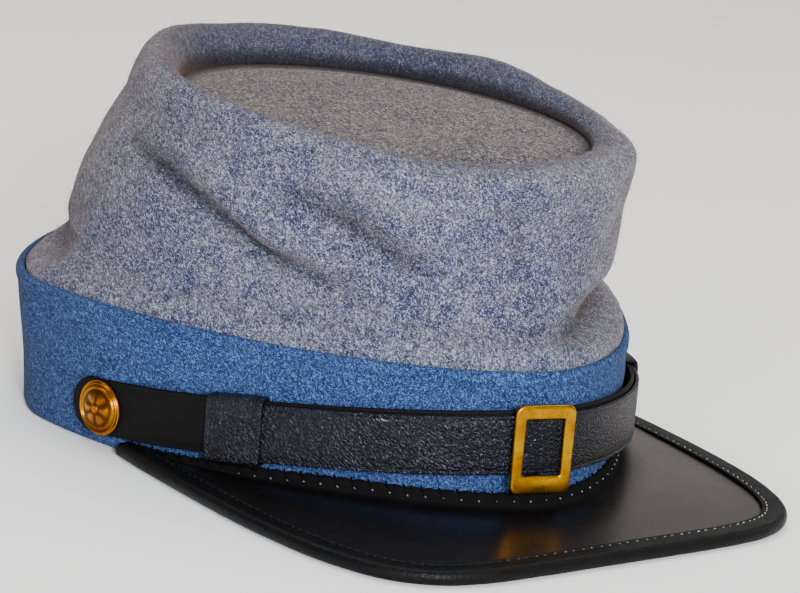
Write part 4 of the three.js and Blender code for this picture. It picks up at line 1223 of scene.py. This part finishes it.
# Chin strap: two halves laid over each other, off the band by what their tables say

def strap_place(turn, table, rise):
    """The middle of a strap half's inner face at each turn, and which ways are out and along."""
    turn = np.asarray(turn, float)
    share = np.maximum(np.cos(turn / math.radians(BUTTON_TURN) * math.pi / 2), 0)
    height = BUTTON_HEIGHT + rise * share ** STRAP_RISE_POWER
    outset = STRAP_WALL * look_up(table, "walls", np.degrees(turn))
    oval = band_oval(height, 0.0)
    along = oval_point(turn + 0.01, oval) - oval_point(turn - 0.01, oval)
    along /= np.linalg.norm(along, axis=-1, keepdims=True)
    outward = np.stack([along[..., 1], -along[..., 0], np.zeros_like(turn)], -1)
    outward /= np.linalg.norm(outward, axis=-1, keepdims=True)
    return oval_point(turn, oval) + outward * outset[..., None], outward, along


RUN_TURNS = np.radians(np.linspace(-100, 100, 4001))
RUN_POINTS = oval_point(RUN_TURNS, band_oval(BUTTON_HEIGHT, STRAP_WALL))
RUN_LENGTHS = np.concatenate([[0], np.cumsum(np.linalg.norm(np.diff(RUN_POINTS, axis=0), axis=1))])


def turn_after(turn, distance):
    """Turn at which a distance has been covered along the band from a start turn."""
    return np.interp(np.interp(turn, RUN_TURNS, RUN_LENGTHS) + distance, RUN_LENGTHS, RUN_TURNS)


def strap_parts(start_turn, end_turn, table, rise, round_start, round_end, lumps_seed):
    """One strap half between two turns, round at the ends that are asked for."""
    half = STRAP_WIDTH / 2
    start_run, end_run = (np.interp(turn, RUN_TURNS, RUN_LENGTHS) for turn in (start_turn, end_turn))
    fine = np.array(STRAP_END_SHARES) * half
    middle = np.arange(start_run + half + STRAP_STEP, end_run - half, STRAP_STEP)
    runs = np.concatenate([start_run + fine, middle, end_run - fine[::-1]])
    turn = np.interp(runs, RUN_LENGTHS, RUN_TURNS)
    width = np.ones(len(runs))
    if round_start:
        width = np.minimum(width, np.sqrt(1 - np.clip(1 - (runs - start_run) / half, 0, 1) ** 2))
    if round_end:
        width = np.minimum(width, np.sqrt(1 - np.clip(1 - (end_run - runs) / half, 0, 1) ** 2))
    width = np.maximum(width, STRAP_TIP_WIDTH)
    place, outward, _ = strap_place(turn, table, rise)
    out = np.concatenate([STRAP_WALL - np.array(STRAP_FACE["sunk"]), STRAP_BACK["out"]])
    up = np.concatenate([STRAP_FACE["up"], STRAP_BACK["up"]]) * half
    grid = place[:, None, :] + outward[:, None, :] * out[None, :, None]
    grid[..., 2] += up[None, :] * width[:, None]
    grid[..., 2] += STRAP_WAVINESS * soft_noise(grid, 22.0, lumps_seed)
    return sweep(grid)


TAIL_INSIDE_KEEPER = 1.0
RIGHT_END = turn_after(math.radians(-BUTTON_TURN), -STRAP_OVERRUN)
LEFT_END = turn_after(math.radians(BUTTON_TURN), STRAP_OVERRUN)
REAR_TAIL = turn_after(math.radians(KEEPER_LEFT_TURN), KEEPER_LENGTH / 2 + STRAP_TAIL)
FRONT_TAIL = turn_after(math.radians(KEEPER_RIGHT_TURN), -KEEPER_LENGTH / 2 + TAIL_INSIDE_KEEPER)
rear_half = strap_parts(RIGHT_END, REAR_TAIL, REAR_STRAP, REAR_RISE, True, False, 51)
front_half = strap_parts(FRONT_TAIL, LEFT_END, FRONT_STRAP, FRONT_RISE, False, True, 52)
new_piece("strap_rear_half", [rear_half], rear_leather, ("strap_rear",))
new_piece("strap_front_half", [front_half], strap_leather, ("strap_front",))


def keeper_parts(centre_degrees):
    """A loop round both strap halves: a section across its width, carried round the loop."""
    steps = np.array(KEEPER_SECTION["along"])
    back_steps = steps[::-2]
    section_along = np.concatenate([steps, back_steps]) * KEEPER_LENGTH / 2
    face = KEEPER_WALL - np.array(KEEPER_SECTION["sunk"])
    section_out = np.concatenate([face, np.zeros(len(back_steps))])
    turn = turn_after(math.radians(centre_degrees), section_along)
    rear, outward, _ = strap_place(turn, REAR_STRAP, REAR_RISE)
    front, _, _ = strap_place(turn, FRONT_STRAP, FRONT_RISE)
    stack = ((front - rear) * outward).sum(-1) + STRAP_WALL
    middle = (rear[:, 2] + front[:, 2]) / 2
    slack = np.abs(rear[:, 2] - front[:, 2]) / 2
    half = STRAP_WIDTH / 2 + SEAT_GAP + slack
    rings = []
    for step in np.linspace(0, 2 * math.pi, 72, endpoint=False):
        out_share, up_share = (math.copysign(abs(part) ** KEEPER_SQUARENESS, part)
                               for part in (math.cos(step), math.sin(step)))
        normal = np.array([out_share ** 5, up_share ** 5])
        normal /= np.linalg.norm(normal) + 1e-9
        out = stack / 2 + out_share * (stack / 2 + SEAT_GAP) + normal[0] * section_out
        up = up_share * half + normal[1] * section_out
        points = rear + outward * out[:, None]
        points[:, 2] = middle + up
        rings.append(points)
    return shell(np.stack(rings))


for name, turn in (("keeper_right", KEEPER_RIGHT_TURN), ("keeper_left", KEEPER_LEFT_TURN)):
    new_piece(name + "_loop", [keeper_parts(turn)], strap_leather, (name,))


# Brass: buckle, buttons and the side stud

def rounded_outline(width, height, corner, per_corner=9, per_side=6):
    """Outline of a rounded oblong: each corner's arc, then the points of the straight side after it."""
    x, y = width / 2 - corner, height / 2 - corner
    corners = (((x, -y), -90, (x + corner, y)), ((x, y), 0, (-x, y + corner)),
               ((-x, y), 90, (-x - corner, -y)), ((-x, -y), 180, (x, -y - corner)))
    points = []
    for (centre_x, centre_y), start, side_end in corners:
        for degrees in np.linspace(start, start + 90, per_corner):
            points.append((centre_x + corner * math.cos(math.radians(degrees)),
                           centre_y + corner * math.sin(math.radians(degrees))))
        side_start = np.array(points[-1])
        points += [tuple(blend(side_start, np.array(side_end), share)) for share in
                   np.linspace(0, 1, per_side + 2)[1:-1]]
    return np.array(points)


def on_frame(points, origin, along, up, out):
    """Points given along three directions from an origin."""
    points = np.asarray(points, float)
    return origin + points[..., :1] * along + points[..., 1:2] * up + points[..., 2:] * out


def bevelled_box(low, high, bevel):
    """A box with its edges taken off, as rings from its bottom to its top."""
    size = (np.array(high) - np.array(low)) / 2
    middle = (np.array(high) + np.array(low)) / 2
    rings = []
    for height, inset in ((-size[2], bevel), (bevel - size[2], 0), (size[2] - bevel, 0), (size[2], bevel)):
        outline = rounded_outline(2 * (size[0] - inset), 2 * (size[1] - inset), bevel, 4, 1)
        rings.append(np.column_stack([outline + middle[:2], np.full(len(outline), middle[2] + height)]))
    return np.array(rings)


def buckle_parts():
    """The buckle's frame over the strap, and the bar behind the strap with its two legs."""
    turn = math.radians(BUCKLE_TURN)
    rear, outward, along = strap_place(turn, REAR_STRAP, REAR_RISE)
    front, _, _ = strap_place(turn, FRONT_STRAP, FRONT_RISE)
    stack = float((front - rear) @ outward) + STRAP_WALL
    lift = (rear[2] - front[2]) / 2
    along = np.array([along[0], along[1], 0])
    along /= np.linalg.norm(along)
    up = np.array([0.0, 0.0, 1.0])
    origin = rear - up * lift
    face = stack + BUCKLE_FACE_ROOM
    outer = rounded_outline(BUCKLE_WIDTH, BUCKLE_HEIGHT, BUCKLE_CORNER)
    window_height = BUCKLE_HEIGHT - 2 * BUCKLE_CROSS_RAIL - 2 * BUCKLE_WINDOW_LIFT
    inner = rounded_outline(BUCKLE_WIDTH - 2 * BUCKLE_RAIL, window_height, BUCKLE_CORNER / 4)
    inner = inner + [0, BUCKLE_WINDOW_LIFT]
    rings = []
    for share, wall_share in BUCKLE_SECTION:
        ring = blend(outer, inner, share) + [0, -BUCKLE_HANG]
        rings.append(np.column_stack([ring, np.full(len(ring), face + wall_share * BUCKLE_WALL)]))
    parts = [shell(on_frame(np.array(rings), origin, along, up, outward))]
    leg_foot = STRAP_WIDTH / 2 + abs(lift) + BUCKLE_LEG_ROOM
    leg_reach = leg_foot + BUCKLE_LEG_WALL
    low_foot, low_reach = -leg_foot - BUCKLE_LEG_DROP, -leg_reach - BUCKLE_LEG_DROP
    half = BUCKLE_BAR_WIDTH / 2
    boxes = [((-half, low_reach, -SEAT_GAP - BUCKLE_BAR_WALL), (half, leg_reach, -SEAT_GAP))]
    boxes += [((-half, low, -SEAT_GAP), (half, high, face + 0.2))
              for low, high in ((leg_foot, leg_reach), (low_reach, low_foot))]
    for low, high in boxes:
        box = bevelled_box(low, high, BUCKLE_LEG_BEVEL)
        parts.append(sweep(on_frame(box, origin, along, up, outward)))
    return parts


new_piece("buckle_frame", buckle_parts(), buckle_brass, ("buckle",))


def turned_rings(section, turn):
    """Rings of a turned section, given as radius and height."""
    side, front = np.cos(turn), np.sin(turn)
    return np.array([np.stack([radius * side, radius * front, np.full(len(turn), height)], -1)
                     for radius, height in section])


def button_grid():
    """Face of a button from its middle to its rim: a raised flower, an inner ring and a rolled rim."""
    turn = np.linspace(0, 2 * math.pi, BUTTON_COLUMNS, endpoint=False)[None, :]
    radius = np.concatenate([np.linspace(0.0, 5.2, 27), np.linspace(5.35, 7.2, 18),
                             [7.35, 7.46, BUTTON_RADIUS]])[:, None]
    radius, turn = np.broadcast_arrays(radius, turn)
    share = radius / BUTTON_RADIUS
    dome = BUTTON_DOME * (1 - share ** 2.2)
    rim = sum(rise * np.exp(-((radius - middle) / reach) ** 2)
              for middle, reach, rise in zip(*BUTTON_RINGS.values()))
    petals = 0.5 + 0.5 * np.cos(PETALS * turn)
    petal = petals ** 1.1 * np.exp(-((radius - 3.0) / 1.3) ** 4)
    vein = 0.12 * petals ** 14 * np.exp(-((radius - 2.9) / 0.9) ** 4)
    boss = smooth_share((BOSS_RADIUS - radius) / 0.5)
    height = dome + rim + PETAL_RISE * petal - vein + BOSS_RISE * boss + BUTTON_EDGE
    raised = np.maximum(np.maximum(petal * 1.5, boss), smooth_share((radius - 5.0) / 0.6))
    groove = np.exp(-((radius - 6.3) / 0.22) ** 2)
    low_place = np.clip(0.85 * (1 - raised) + 0.8 * groove, 0, 0.9)
    edge = smooth_share((BUTTON_RADIUS - radius) / BUTTON_EDGE)
    height = blend(np.full_like(height, SEAT_GAP + BUTTON_EDGE), height, edge)
    grid = np.stack([radius * np.cos(turn), radius * np.sin(turn), height], -1)[1:]
    return grid, low_place[1:]


def button_parts(side):
    """A button on its strap half, with the mark of its low places. Side is -1 at the wearer's right."""
    table, rise = (REAR_STRAP, REAR_RISE) if side < 0 else (FRONT_STRAP, FRONT_RISE)
    place, outward, along = strap_place(math.radians(side * BUTTON_TURN), table, rise)
    along = np.array([along[0], along[1], 0]) / math.hypot(along[0], along[1])
    up = np.array([0.0, 0.0, 1.0])
    origin = place + outward * STRAP_WALL
    face, low_place = button_grid()
    count = face.shape[1]
    turn = np.linspace(0, 2 * math.pi, count, endpoint=False)
    back = ((7.4, SEAT_GAP + 0.1), (7.1, SEAT_GAP), (1.7, SEAT_GAP), (1.5, SEAT_GAP - 0.1),
            (1.5, -STRAP_WALL - 0.2))
    grid = np.concatenate([face, turned_rings(back, turn)])
    return sweep(on_frame(grid, origin, along, up, outward)), {"low_place": low_place}


for side, name in ((-1, "button_right"), (1, "button_left")):
    button_disc, button_marks = button_parts(side)
    new_piece(name + "_face", [button_disc], button_brass, (name,), button_marks)


def stud_parts():
    """The stud's head, seated on the crown's outer face."""
    turn = math.radians(STUD_TURN)
    column = int(round((turn + math.pi) / (2 * math.pi) * CROWN_COLUMNS)) % CROWN_COLUMNS
    heights = crown_grid[2:60, column, 2]
    row = 2 + int(np.argmin(np.abs(heights - blend(BAND_HEIGHT, RIM_HEIGHT, STUD_LEVEL))))
    across = crown_grid[row, column + 6] - crown_grid[row, column - 6]
    upward = crown_grid[row + 3, column] - crown_grid[row - 3, column]
    across, upward = (v / np.linalg.norm(v) for v in (across, upward))
    outward = np.cross(across, upward)
    outward /= np.linalg.norm(outward)
    grid = turned_rings(STUD_SECTION, np.linspace(0, 2 * math.pi, STUD_COLUMNS, endpoint=False))
    origin = crown_grid[row, column] + outward * 0.5
    return [sweep(on_frame(grid, origin, across, np.cross(outward, across), outward))]


new_piece("side_stud_head", stud_parts(), button_brass, ("side_stud",))


# Nap: short fibres that stand off the wool

def nap_parts(grid, count, lengths, rows, seed):
    """Tapered three-sided fibres on a grid's outer face, between two of its rows."""
    chance = np.random.default_rng(seed)
    normals = surface_normals(grid, False, True)
    normals *= np.sign((normals * (grid - grid.mean((0, 1)))).sum())
    row = chance.integers(rows[0], rows[1], count)
    column = chance.integers(0, grid.shape[1], count)
    jitter = chance.normal(0, 0.35, (count, 3))
    roots = grid[row, column] + jitter
    outward = normals[row, column]
    lean = chance.normal(0, 0.75, (count, 3))
    way = outward + lean
    way /= np.linalg.norm(way, axis=1, keepdims=True)
    facing = (way * outward).sum(1)
    way[facing < 0.15] = outward[facing < 0.15]
    length = chance.uniform(*lengths, count)[:, None]
    bend = chance.normal(0, 0.3, (count, 3))
    side = np.cross(way, chance.normal(0, 1, (count, 3)))
    side /= np.linalg.norm(side, axis=1, keepdims=True)
    other = np.cross(way, side)
    rings = []
    for share, size in ((0.0, 1.0), (0.55, 0.8)):
        centre = roots - outward * NAP_SUNK + way * length * share + bend * length * share * share
        rings.append([centre + NAP_RADIUS * size * (side * math.cos(turn) + other * math.sin(turn))
                      for turn in (0.0, 2.1, 4.2)])
    tip = roots - outward * NAP_SUNK + way * length + bend * length
    points = np.stack([*rings[0], *rings[1], tip], axis=1).reshape(-1, 3)
    pattern = np.array([(0, 2, 1), (0, 1, 4), (0, 4, 3), (1, 2, 5), (1, 5, 4), (2, 0, 3), (2, 3, 5),
                        (3, 4, 6), (4, 5, 6), (5, 3, 6)])
    faces = (pattern[None] + (np.arange(count) * 7)[:, None, None]).reshape(-1, 3).tolist()
    return [(points, faces)]


crown_fibres = nap_parts(crown_grid, NAP_FIBRES, NAP_LENGTHS, (4, 80), 61)
new_piece("crown_nap", crown_fibres, crown_wool)


# Camera at the photograph's angle, plain floor and soft studio light

CAMERA_PLACE = (-0.38676, -0.57212, 0.20761)
CAMERA_AIM = (0.02778, 0.02707, 0.02977)
CAMERA_ROLL = math.radians(4.761)
CAMERA_LENS = 114.12
CAP_MIDDLE = (0.0, 0.0, 0.05)
STRAP_MIDDLE = (-0.03, -0.05, 0.03)


def aimed(thing, place, aim, roll=0.0):
    """Puts a camera or a lamp at a place and points it."""
    thing.location = place
    way = Vector(aim) - Vector(place)
    thing.rotation_euler = way.to_track_quat("-Z", "Y").to_euler()
    thing.rotation_euler.rotate_axis("Z", roll)


camera_lens = bpy.data.cameras.new("studio_camera")
camera_lens.lens = CAMERA_LENS
camera_lens.sensor_width = 36.0
camera_lens.clip_start = 0.05
camera_lens.clip_end = 50.0
camera = bpy.data.objects.new("studio_camera", camera_lens)
bpy.context.scene.collection.objects.link(camera)
aimed(camera, CAMERA_PLACE, CAMERA_AIM, CAMERA_ROLL)
bpy.context.scene.camera = camera


def soft_box(name, place, aim, size, power, colour):
    """A plain oblong studio lamp."""
    light = bpy.data.lights.new(name, "AREA")
    light.shape = "RECTANGLE"
    light.size, light.size_y = size
    light.energy = power
    light.color = colour
    lamp = bpy.data.objects.new(name, light)
    bpy.context.scene.collection.objects.link(lamp)
    aimed(lamp, place, aim)


soft_box("flash_light", (-0.58, -1.34, 0.5), CAP_MIDDLE, (0.24, 0.24), 31.0, (0.92, 0.96, 1.0))
soft_box("glint_light", (-1.22, -0.86, 0.26), STRAP_MIDDLE, (0.11, 0.11), 6.5, (0.9, 0.93, 1.0))
soft_box("front_light", (-0.25, -1.6, 0.7), CAP_MIDDLE, (0.7, 0.6), 12.0, (0.95, 0.97, 1.0))
soft_box("top_light", (0.25, 0.5, 1.8), CAP_MIDDLE, (1.8, 1.8), 37.0, (1.0, 0.96, 0.9))
soft_box("side_light", (1.4, -0.5, 0.75), CAP_MIDDLE, (0.8, 0.8), 7.0, (1.0, 0.86, 0.7))


def stage_floor():
    """A paper floor that curves up behind the cap, square to the camera. All sizes are metres."""
    near, bend_start, bend, wall_top = -6.0, 2.2, 1.2, 5.0
    half_width = 6.0
    turns = np.linspace(0, math.pi / 2, 24)
    profile = [(near, 0.0)]
    profile += [(bend_start + bend * math.sin(turn), bend - bend * math.cos(turn)) for turn in turns]
    profile += [(bend_start + bend, wall_top)]
    view_turn = math.radians(-34.7)
    forward = np.array([-math.sin(view_turn), math.cos(view_turn), 0])
    side = np.array([math.cos(view_turn), math.sin(view_turn), 0])
    points = []
    for reach, height in profile:
        for across in (-half_width, half_width):
            points.append(forward * reach + side * across + np.array([0, 0, height - 0.0002]))
    mesh = bpy.data.meshes.new("studio_floor")
    faces = [[2 * i, 2 * i + 1, 2 * i + 3, 2 * i + 2] for i in range(len(profile) - 1)]
    mesh.from_pydata([tuple(point) for point in points], [], faces)
    mesh.polygons.foreach_set("use_smooth", [True] * len(mesh.polygons))
    material = bpy.data.materials.new("studio_paper")
    material.use_nodes = True
    shader = material.node_tree.nodes["Principled BSDF"]
    shader.inputs["Base Color"].default_value = (0.9, 0.9, 0.9, 1)
    shader.inputs["Roughness"].default_value = 0.9
    mesh.materials.append(material)
    floor = bpy.data.objects.new("studio_floor", mesh)
    bpy.context.scene.collection.objects.link(floor)


stage_floor()
world = bpy.data.worlds.new("studio_air")
world.use_nodes = True
world.node_tree.nodes["Background"].inputs["Color"].default_value = (1.0, 1.0, 1.0, 1)
world.node_tree.nodes["Background"].inputs["Strength"].default_value = 0.36
bpy.context.scene.world = world
